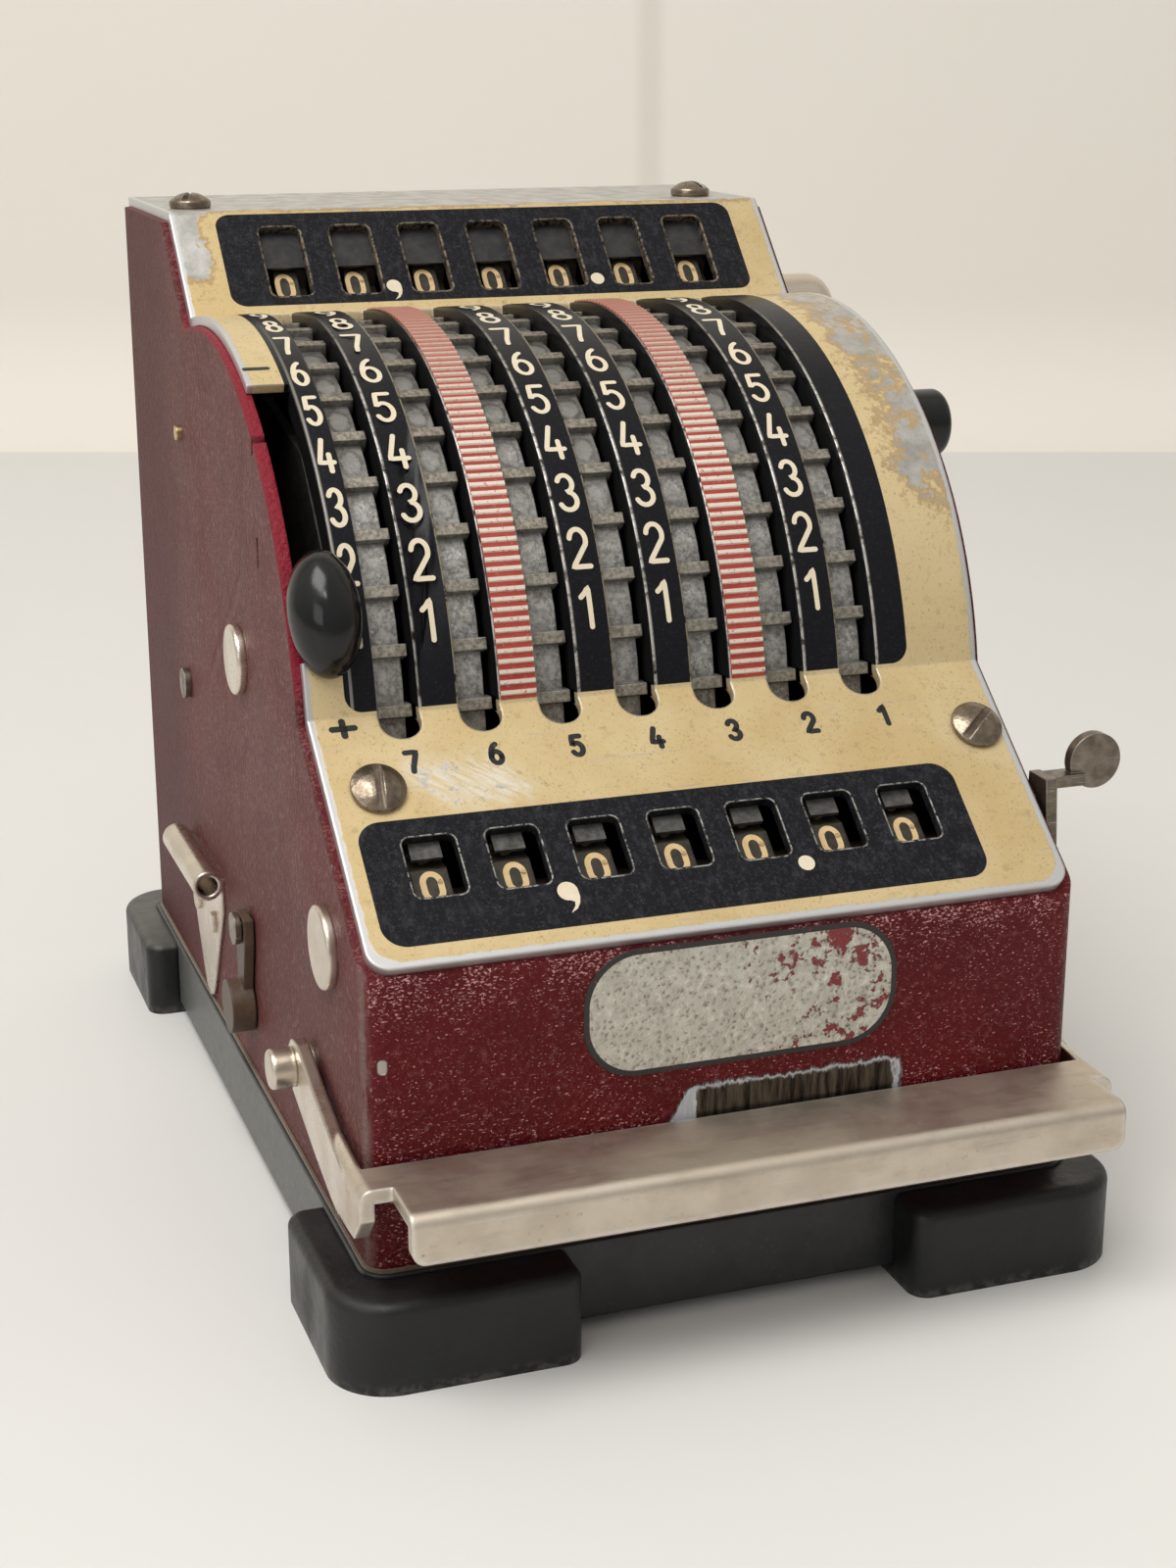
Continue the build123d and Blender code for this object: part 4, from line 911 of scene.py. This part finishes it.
# Painted shade in the valleys of the wrinkle and painted glints on its crests.
tone = t.mix(t.step(wrinkle, 0.58, 0.32) * 0.8, tone, (0.19, 0.175, 0.145))
tone = t.mix(t.step(wrinkle, 0.66, 0.86) * 0.6, tone, (0.80, 0.78, 0.71))
spread = t.step(x, -6, 20) * 0.135 + t.step(z, 46, 55) * 0.06
loss = t.step(t.noise(p, 0.42, 5, 0.65) * 0.7 + t.noise(p, 1.4, 4, 0.7) * 0.3 + spread, 0.66, 0.69)
tone = t.mix(loss, tone, (0.20, 0.022, 0.026))
dress(t, sh, color=tone, metal=t.blend(loss, 0.45, 0.0), rough=0.38,
      normal=t.bump(wrinkle - loss, 0.9, 0.0003))

badge_edge_mat, t, sh = material("badge_outline")
p = t.millimetres()
gone = t.step(t.noise(p, 1.0, 5, 0.7), 0.63, 0.68)
tone = t.mix(gone, (0.018, 0.014, 0.013), (0.20, 0.022, 0.026))
dress(t, sh, color=tone, rough=0.42, normal=t.bump(t.wrinkle(p), 0.5, 0.0002))

# %% [markdown]
# ## The solids take their finishes
# Most are named in a table. Wheels, drums and feet share theirs, and what is left is inside.

# %% Dress the solids
NICKEL = ("clear_bar", "bar_pivot_pins", "bar_spacers", "bell_knob", "stylus_clip",
          "clip_rivets", "wall_stud", "result_shaft")
STEEL = ("right_lever", "right_lever_pivot", "cover_screws_front", "cover_screws_top",
         "side_screw", "left_tab_pivot", "foot_screws")
LOOKS = {
    "cover_plate": cover_mat, "housing": paint_mat, "base": base_mat, "base_gasket": gasket_mat,
    "guide_pin": brass_mat, "selector_knob": gloss_mat, "right_knob": gloss_mat,
    "left_tab": tab_shade_mat, "detent_comb": leaf_mat, "window_mask": mask_mat,
}
LOOKS.update({name: nickel_mat for name in NICKEL})
LOOKS.update({name: steel_mat for name in STEEL})
for name, obj in nodes.items():
    if name.startswith("setting_wheel"):
        look = wheel_mat
    elif name.startswith(("control_drum", "result_drum")):
        look = drum_mat
    elif name.startswith("foot_") and name != "foot_screws":
        look = rubber_mat
    else:
        look = LOOKS.get(name, dark_metal_mat)
    obj.data.materials.clear()
    obj.data.materials.append(look)
print("solids dressed:", len(nodes))

# %% [markdown]
# ## Figures drawn as if with a round tool
# The real figures are printed or engraved with strokes of one width. A font would not match
# them, so each figure is a set of strokes in a unit box, and `write` lays them on any surface
# as thin ribbons with round ends.

# %% Strokes
def bow(cx, cy, rx, ry, start, end, n=14):
    return [(cx + rx * math.cos(math.radians(start + (end - start) * k / n)),
             cy + ry * math.sin(math.radians(start + (end - start) * k / n))) for k in range(n + 1)]


STROKES = {
    "0": [bow(0.5, 0.66, 0.44, 0.34, 0, 180) + bow(0.5, 0.34, 0.44, 0.34, 180, 360)
          + [(0.94, 0.66)]],
    "1": [[(0.18, 0.76), (0.40, 0.86), (0.60, 1.0), (0.60, 0.0)]],
    "2": [bow(0.49, 0.71, 0.42, 0.29, 168, -28) + [(0.06, 0.0), (0.96, 0.0)]],
    "3": [bow(0.47, 0.755, 0.38, 0.245, 160, -90) + bow(0.47, 0.255, 0.45, 0.255, 90, -158)[1:]],
    "4": [[(0.46, 1.0), (0.04, 0.27), (0.98, 0.27)], [(0.73, 0.52), (0.73, 0.0)]],
    "5": [[(0.88, 1.0), (0.22, 1.0), (0.13, 0.54)] + bow(0.47, 0.32, 0.44, 0.32, 134, -152)],
    "6": [bow(0.5, 0.31, 0.42, 0.31, 0, 360, 22),
          [(0.085, 0.36), (0.13, 0.55), (0.25, 0.76), (0.40, 0.90), (0.62, 1.0)]],
    "7": [[(0.04, 1.0), (0.93, 1.0), (0.66, 0.55), (0.48, 0.25), (0.40, 0.0)]],
    "8": [bow(0.5, 0.76, 0.33, 0.24, 0, 360, 20), bow(0.5, 0.26, 0.43, 0.26, 0, 360, 22)],
    "9": [bow(0.5, 0.69, 0.42, 0.31, 0, 360, 22),
          [(0.915, 0.64), (0.87, 0.45), (0.75, 0.24), (0.60, 0.10), (0.38, 0.0)]],
    "-": [[(0.0, 0.5), (1.0, 0.5)]],
    "+": [[(0.0, 0.5), (1.0, 0.5)], [(0.5, 0.0), (0.5, 1.0)]],
}

# %% [markdown]
# A ribbon follows its path in short steps, so that it lies close on a curved surface.

# %% Ribbons and pieces
def fine_path(path, most=0.35):
    out = [path[0]]
    for a, b in zip(path, path[1:]):
        n = max(1, math.ceil(math.dist(a, b) / most))
        for k in range(1, n + 1):
            out.append((a[0] + (b[0] - a[0]) * k / n, a[1] + (b[1] - a[1]) * k / n))
    return out


def ribbon(bm, path, width, place):
    """A flat stroke of some width along a path, in mm, laid on a surface."""
    path = fine_path(path)
    half = width / 2
    left, right = [], []
    for k, (px, py) in enumerate(path):
        a, b = path[max(k - 1, 0)], path[min(k + 1, len(path) - 1)]
        d = math.dist(a, b) or 1
        nx, ny = -(b[1] - a[1]) / d * half, (b[0] - a[0]) / d * half
        left.append(bm.verts.new(place(px + nx, py + ny)))
        right.append(bm.verts.new(place(px - nx, py - ny)))
    for k in range(len(path) - 1):
        bm.faces.new((right[k], right[k + 1], left[k + 1], left[k]))
    for end, near in ((0, 1), (-1, -2)):
        px, py = path[end]
        a = math.atan2(py - path[near][1], px - path[near][0])
        fan = [bm.verts.new(place(px + half * math.cos(a + t), py + half * math.sin(a + t)))
               for t in (-math.pi / 2 + math.pi * k / 8 for k in range(9))]
        bm.faces.new(fan)


def write(bm, text, cx, cy, w, h, stroke, place):
    """One figure centred on (cx, cy) of a surface; w and h are over its outer edges."""
    for path in STROKES[text]:
        pts = [(cx + (px - 0.5) * (w - stroke), cy + (py - 0.5) * (h - stroke)) for px, py in path]
        ribbon(bm, pts, stroke, place)


def disc(bm, cx, cy, r, place, n=28):
    bm.faces.new([bm.verts.new(place(cx + r * math.cos(a), cy + r * math.sin(a)))
                  for a in (2 * math.pi * k / n for k in range(n))])


def piece(name, bm, mats, body):
    """A finished mesh in the CAD frame, riding on a body."""
    mesh = bpy.data.meshes.new(name)
    bm.to_mesh(mesh)
    bm.free()
    obj = bpy.data.objects.new(name, mesh)
    bpy.context.scene.collection.objects.link(obj)
    for m in mats:
        mesh.materials.append(m)
    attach(obj, body)
    return obj

# %% [markdown]
# ## Printing on the cover
# Five strips between the slots count from 1 to 9, from the bottom up. Below the slots stand the
# columns' numbers, and beside the knob its plus and minus.

# %% Print the cover
FIGURE_DEG, FIGURE_STEP = 157.1, 8.43
STRIP_X = {0: -44.2, 1: -33.4, 3: -9.4, 4: 2.6, 6: 26.6}
for strip, cx in STRIP_X.items():
    bm = bmesh.new()
    w = 3.0 if strip == 0 else 3.7
    for d in range(1, 10):
        place = on_arc(FIGURE_DEG - FIGURE_STEP * (d - 1), PRINT_LIFT)
        write(bm, str(d), cx, 0, w, 6.6, 0.78, place)
    piece(f"strip_figures_{strip}", bm, [cream_mat], "case")

low = on_slope(LOW_FOLD, LOW_SLOPE, PRINT_LIFT)
high = on_slope(HIGH_FOLD, HIGH_SLOPE, PRINT_LIFT)
bm = bmesh.new()
for k in range(7):
    write(bm, str(7 - k), -39.2 + 12.2 * k, -8.5, 2.65, 4.1, 0.86, low)
write(bm, "+", -47.8, -1.8, 4.2, 3.5, 1.0, low)
write(bm, "-", -50.3, 0, 4.2, 1.0, 0.85, on_arc(113.2, PRINT_LIFT))
piece("cover_labels", bm, [label_mat], "case")

# %% [markdown]
# A comma and a dot between the windows part the figures into groups.

# %% Comma and dot
def comma(bm, cx, cy, r, place):
    outline = [(math.cos(math.radians(d)), math.sin(math.radians(d))) for d in range(-5, 281, 11)]
    outline += [(0.40, -1.20), (0.30, -1.65), (-0.25, -2.35), (0.45, -1.95), (0.85, -1.35),
                (1.02, -0.70)]
    bm.faces.new([bm.verts.new(place(cx + u * r, cy + v * r)) for u, v in outline])


bm = bmesh.new()
comma(bm, -22.65, -32.3, 1.5, low)
disc(bm, 13.3, -32.35, 1.25, low)
comma(bm, -17.6, 5.2, 1.25, high)
disc(bm, 18.5, 5.2, 1.2, high)
piece("cover_points", bm, [cream_mat], "case")

# %% [markdown]
# ## Figures on the drums
# A drum has ten flats, 36 degrees apart. Figure n comes into the window after n steps of the
# wheel. The figures ride on the drum's own body, so that they turn with it.

# %% Print the drums
FLAT_DEG = 36
RESULT_FLAT, CONTROL_FLAT = 11.3, 12.4


def cad_axis(joint):
    pos = next(j for j in frame["joints"] if j["name"] == joint)["pos_m"]
    return pos[1] / MM + MIDDLE.y, pos[2] / MM


def drum_figures(row, number, flat, slope, box):
    """Figures 0 to 9 on the flats of one drum; box is (x, up, width, height, stroke)."""
    axis = cad_axis(f"{row}_drum_{number}_turn")
    bm = bmesh.new()
    for n in range(10):
        write(bm, str(n), *box, on_facet(axis, flat, slope + 90 + FLAT_DEG * n, PRINT_LIFT))
    piece(f"{row}_figures_{number}", bm, [amber_mat], f"{row}_{number}")


for k in range(7):
    x0 = column_x(k)
    drum_figures("result", 7 - k, RESULT_FLAT, LOW_SLOPE, (x0 - 0.95, 0.85, 3.75, 5.1, 0.9))
    drum_figures("control", 7 - k, CONTROL_FLAT, HIGH_SLOPE, (x0 + 4.3, 0, 3.6, 5.6, 0.85))

# %% [markdown]
# ## Red ridged strips
# Two of the strips carry rows of low ridges instead of figures; their crests have lost the red.
# The profile of the ridges is laid along the arc, and each stretch of it takes the red or the
# bare finish.

# %% Ridged strips
RIDGE = 1.5
RIDGE_ENDS = (168.7, 78.6)


def ridged_strip(name, x0, x1, deg0, deg1):
    bm = bmesh.new()
    length = math.radians(deg0 - deg1) * ARC_R
    count = int(length / RIDGE)
    profile = []
    for k in range(count):
        base = k * RIDGE
        profile += [(base, 0.03, 0), (base + 0.58, 0.04, 1), (base + 0.76, 0.28, 1),
                    (base + 1.30, 0.28, 0)]
    profile.append((count * RIDGE, 0.03, 0))
    rows = []
    for v, lift, _ in profile:
        y, z = ring(deg0 - math.degrees(v / ARC_R), ARC_R + lift)
        rows.append([bm.verts.new(spot(u, y, z)) for u in (x0, x0 + 0.25, x1 - 0.2, x1)])
    for (a, b, p) in zip(rows, rows[1:], profile):
        for c in range(3):
            f = bm.faces.new((a[c], a[c + 1], b[c + 1], b[c]))
            f.material_index = p[2]
    for row in rows:
        row[0].co.x += 0.0001
        row[3].co.x -= 0.0001
    skirt = []
    for v, lift, _ in profile:
        y, z = ring(deg0 - math.degrees(v / ARC_R), ARC_R - 0.05)
        skirt.append([bm.verts.new(spot(u, y, z)) for u in (x0 + 0.1, x1 - 0.1)])
    for k in range(len(rows) - 1):
        bm.faces.new((rows[k][0], rows[k + 1][0], skirt[k + 1][0], skirt[k][0]))
        bm.faces.new((rows[k][3], skirt[k][1], skirt[k + 1][1], rows[k + 1][3]))
    piece(name, bm, [red_mat, crest_mat], "case")


ridged_strip("red_ridges_6", -24.15, -18.55, *RIDGE_ENDS)
ridged_strip("red_ridges_3", 11.85, 17.45, *RIDGE_ENDS)

# %% [markdown]
# ## Round-headed screws
# The cover is held by four slotted screws. Their heads are turned from a profile, then slotted
# with a boolean cutter, and they replace the plain heads of the CAD.

# %% Screw steel
screw_mat, t, sh = material("domed_screw_steel")
p = t.millimetres()
wear = t.worn_edge(p, 0.0003, 0.3)
cloud = t.clouds(p, 0.7)
tone = t.mix(cloud, (0.30, 0.245, 0.185), (0.155, 0.12, 0.088))
crevice_occlusion = t.crevice(0.0012, samples=8)
rust = t.mix(t.noise(p, 1.6, 4), (0.055, 0.028, 0.016), (0.16, 0.085, 0.05))
dirty = t.step(crevice_occlusion, 0.80, 0.40)
tone = t.mix(dirty * 0.9, tone, rust)
scr = t.scratches(p, 1.2, 0.6)
tone = t.mix(t.most(scr, wear["Mask"] * 0.5), tone, (0.66, 0.61, 0.54))
dress(t, sh, color=tone, metal=t.blend(dirty, 0.95, 0.2), rough=0.20 + cloud * 0.16,
      normal=t.bump(t.noise(p, 0.9, 4, 0.6), 0.35, 0.0002, wear["Normal"]))

# %% [markdown]
# One head is made about its own axis, in metres, and then moved onto its face of the cover.

# %% A slotted head
def head_profile(r, side, top):
    """(radius, height) down from the crown of a round head."""
    rise = top - side
    sphere = (r * r + rise * rise) / (2 * rise)
    dome = [(r * k / 9, top - sphere + math.sqrt(sphere * sphere - (r * k / 9) ** 2))
            for k in range(1, 9)]
    return dome + [(r * 0.975, side + rise * 0.10), (r, side - 0.05), (r, 0.35), (r * 0.93, 0.0),
                   (r * 0.90, -0.25)]


ROUND = 48
SHARP = math.radians(32)


def slotted_head(r, side, top, slot_w, slot_d, turn, frame_of):
    """A domed head with its slot cut, as a mesh in the CAD frame."""
    bm = bmesh.new()
    crown = bm.verts.new((0, 0, top))
    turns = [2 * math.pi * k / ROUND for k in range(ROUND)]
    rows = [[bm.verts.new((q * math.cos(a), q * math.sin(a), h)) for a in turns]
            for q, h in head_profile(r, side, top)]
    for k in range(ROUND):
        j = (k + 1) % ROUND
        bm.faces.new((crown, rows[0][k], rows[0][j]))
        for a, b in zip(rows, rows[1:]):
            bm.faces.new((a[k], b[k], b[j], a[j]))
    bm.faces.new(list(reversed(rows[-1])))
    bmesh.ops.recalc_face_normals(bm, faces=bm.faces)
    bmesh.ops.scale(bm, vec=(MM, MM, MM), verts=bm.verts)
    head_mesh = bpy.data.meshes.new("head_blank")
    bm.to_mesh(head_mesh)
    bm.free()
    head = bpy.data.objects.new("head_blank", head_mesh)
    cut = bmesh.new()
    bmesh.ops.create_cube(cut, size=1, matrix=Matrix.Rotation(math.radians(turn), 4, "Z")
                          @ Matrix.Translation((0, 0, (top - slot_d + 3) * MM))
                          @ Matrix.Diagonal((4 * r * MM, slot_w * MM, 6 * MM, 1)))
    cut_mesh = bpy.data.meshes.new("slot_cutter")
    cut.to_mesh(cut_mesh)
    cut.free()
    cutter = bpy.data.objects.new("slot_cutter", cut_mesh)
    for o in (head, cutter):
        bpy.context.scene.collection.objects.link(o)
    cutting = head.modifiers.new("slot", "BOOLEAN")
    cutting.operation, cutting.object, cutting.solver = "DIFFERENCE", cutter, "EXACT"
    bpy.context.view_layer.update()
    graph = bpy.context.evaluated_depsgraph_get()
    done = bpy.data.meshes.new_from_object(head.evaluated_get(graph))
    for o in (head, cutter):
        bpy.data.objects.remove(o)
    done.transform(frame_of)
    return done


def head_frame(x, fold, slope, up_slope):
    """Head frame on a face of the cover: Z outwards, Y up the slope."""
    a = math.radians(slope)
    out = Vector((0, -math.sin(a), math.cos(a)))
    up = Vector((0, math.cos(a), math.sin(a)))
    at = spot(x, fold[0] + up_slope * up.y, fold[1] + up_slope * up.z)
    m = Matrix((Vector((1, 0, 0)), up, out)).transposed().to_4x4()
    m.translation = at
    return m

# %% [markdown]
# Two heads make one piece. It is shaded smooth but for the edges of the slot and the rim.

# %% Place the screws
def screw_set(name, node, meshes):
    bm = bmesh.new()
    for mesh in meshes:
        bm.from_mesh(mesh)
        bpy.data.meshes.remove(mesh)
    for f in bm.faces:
        f.smooth = True
    for e in bm.edges:
        e.smooth = len(e.link_faces) != 2 or e.calc_face_angle(0) <= SHARP
    obj = piece(name, bm, [screw_mat], "case")
    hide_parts(node)


TOP = (50.0, 147.9)
FRONT_HEAD = (4.0, 0.75, 2.1, 1.15, 1.15)
TOP_HEAD = (3.5, 1.1, 2.6, 1.0, 1.2)
screw_set("front_screw_heads", "cover_screws_front", [
    slotted_head(*FRONT_HEAD, 84, head_frame(-45.2, LOW_FOLD, LOW_SLOPE, -12.6)),
    slotted_head(*FRONT_HEAD, 40, head_frame(47.9, LOW_FOLD, LOW_SLOPE, -12.2))])
screw_set("top_screw_heads", "cover_screws_top", [
    slotted_head(*TOP_HEAD, 62, head_frame(-47.2, TOP, 0, 0)),
    slotted_head(*TOP_HEAD, 118, head_frame(43.8, TOP, 0, 0))])

# %% [markdown]
# ## Bare badge on the front
# The badge is a lozenge with a dark outline, a tenth of a millimetre proud of the front. Three
# rings of the same outline at three sizes make its face, its rim and its edge.

# %% Badge
def lozenge(half_w, half_h, r, n=14):
    out = []
    u, v = half_w - r, half_h - r
    for cx, cy, start in ((u, v, 0), (-u, v, 90), (-u, -v, 180), (u, -v, 270)):
        out += bow(cx, cy, r, r, start, start + 90, n)
    return out


def badge_ring(bm, y, half_w, half_h, r):
    return [bm.verts.new(spot(BADGE[0] + u, y, BADGE[1] + v))
            for u, v in lozenge(half_w, half_h, r)]


BADGE = (1.0, 47.4)
bm = bmesh.new()
rim = badge_ring(bm, FRONT_Y - 0.10, 23.7, 9.4, 8.0)
edge = badge_ring(bm, FRONT_Y - 0.10, 22.9, 8.6, 7.3)
back = badge_ring(bm, FRONT_Y + 0.02, 23.75, 9.45, 8.0)
bm.faces.new(list(reversed(edge)))
for k in range(len(rim)):
    j = (k + 1) % len(rim)
    for quad in ((rim[j], rim[k], edge[k], edge[j]), (rim[k], rim[j], back[j], back[k])):
        bm.faces.new(quad).material_index = 1
bm.normal_update()
piece("front_badge", bm, [badge_mat, badge_edge_mat], "case")

# %% [markdown]
# ## Stage: a pale table top and a cream wall
# The wall stands behind the machine as the camera sees it, with a soft seam, and a cove joins
# it to the table. None of it is part of the machine, so it goes to the stage.

# %% Stage finishes
VIEW = Vector((0.3355, 0.9420, 0))
SIDE = Vector((0.9420, -0.3355, 0))
CAM = spot(-127.57, -376.24, 178.55)

table_mat, t, sh = material("pale_table")
p = t.node("ShaderNodeTexCoord").outputs["Object"]
tone = t.mix(t.noise(p, 3.0, 4, 0.6), (0.67, 0.665, 0.645), (0.72, 0.715, 0.695))
grit = t.specks(t.stretch(p, 1000, 1000, 1000), 0.12, 0.06, 0.45)
tone = t.mix(grit * 0.35, tone, (0.45, 0.36, 0.28))
dress(t, sh, color=tone, rough=0.42, spec=0.3, normal=t.bump(t.noise(p, 60, 3), 0.05, 0.0002))

wall_mat, t, sh = material("cream_wall")
p = t.node("ShaderNodeTexCoord").outputs["Object"]
tone = t.mix(t.noise(p, 2.0, 3, 0.5), (0.80, 0.765, 0.70), (0.84, 0.805, 0.74))
px, py, _ = t.split(p)
sideways = px * SIDE.x + py * SIDE.y
seam = abs(sideways - (CAM.dot(SIDE) + 0.027))
tone = t.mix(t.step(seam, 0.009, 0.001) * 0.30, tone, (0.52, 0.49, 0.43))
dress(t, sh, color=tone, rough=0.8, spec=0.1)

# %% [markdown]
# One mesh holds the table, the cove and the wall. Its cross-section is swept sideways, far
# enough that no edge comes into the picture.

# %% Table and wall
NEAR, COVE, COVE_R, WALL_TOP, HALF_WIDTH = -1.2, 1.06, 0.06, 2.2, 2.2
bm = bmesh.new()
profile = [(NEAR, 0.0, 0), (COVE, 0.0, 0)]
profile += [(COVE + u, COVE_R + v, 1) for u, v in bow(0, 0, COVE_R, COVE_R, -80, 0, 8)]
profile += [(COVE + COVE_R, WALL_TOP, 1)]
foot_point = Vector((CAM.x, CAM.y, 0))
rows = [[bm.verts.new(foot_point + VIEW * d + SIDE * s + Vector((0, 0, h)))
         for s in (-HALF_WIDTH, HALF_WIDTH)] for d, h, _ in profile]
for a, b, q in zip(rows, rows[1:], profile[1:]):
    f = bm.faces.new((a[0], a[1], b[1], b[0]))
    f.material_index = q[2]
    f.smooth = True
mesh = bpy.data.meshes.new("stage")
bm.normal_update()
bm.to_mesh(mesh)
bm.free()
stage = bpy.data.objects.new("stage", mesh)
bpy.context.scene.collection.objects.link(stage)
mesh.materials.append(table_mat)
mesh.materials.append(wall_mat)

# %% [markdown]
# ## Lamps, world and camera
# A wide lamp above the left lights the machine from behind the camera's shoulder, a weak one
# stands in for a window, and a small one gives the knobs and metal their highlights.

# %% Lamps
def area(name, at, to, size, power, color=(1, 1, 1)):
    lamp = bpy.data.lights.new(name, "AREA")
    lamp.shape = "RECTANGLE"
    lamp.size, lamp.size_y = size
    lamp.energy = power
    lamp.color = color
    obj = bpy.data.objects.new(name, lamp)
    bpy.context.scene.collection.objects.link(obj)
    obj.location = at
    obj.rotation_euler = (Vector(to) - Vector(at)).to_track_quat("-Z", "Y").to_euler()


area("ceiling_light", (-0.60, -0.35, 1.45), (0, 0, 0.05), (1.0, 0.9), 17.5, (1.0, 0.985, 0.96))
area("window_light", (-1.2, -1.0, 0.6), (0, 0, 0.08), (0.8, 0.6), 2.2, (0.95, 0.98, 1.0))
area("small_lamp", (-0.30, -0.75, 0.95), (0, -0.03, 0.1), (0.09, 0.09), 1.0, (1.0, 0.98, 0.95))

# %% [markdown]
# The world is pale above and darker below and in front, so that metal has something to mirror.

# %% World and camera
world = bpy.data.worlds.new("pale_room")
bpy.context.scene.world = world
world.use_nodes = True
world.node_tree.nodes.clear()
t = Tree(world.node_tree)
direction = t.split(t.node("ShaderNodeTexCoord").outputs["Generated"])
up = t.step(direction[2], -0.25, 0.75)
front = t.step(direction[1], 0.3, -0.9)
tone = t.mix(up, (0.36, 0.34, 0.31), (0.92, 0.90, 0.86))
tone = t.mix(front * 0.45, tone, (0.30, 0.29, 0.28))
back = t.node("ShaderNodeBackground", {0: tone, 1: 0.75})
out = t.node("ShaderNodeOutputWorld")
t.links.new(back.outputs[0], out.inputs[0])

camera_data = bpy.data.cameras.new("camera")
camera_data.lens = 56.77
camera_data.sensor_width = 36
camera_data.clip_start = 0.01
camera = bpy.data.objects.new("camera", camera_data)
bpy.context.scene.collection.objects.link(camera)
camera.location = CAM
camera.rotation_euler = Vector((0.3205, 0.8999, -0.2958)).to_track_quat("-Z", "Y").to_euler()
bpy.context.scene.camera = camera
bpy.context.scene.view_settings.view_transform = "Standard"
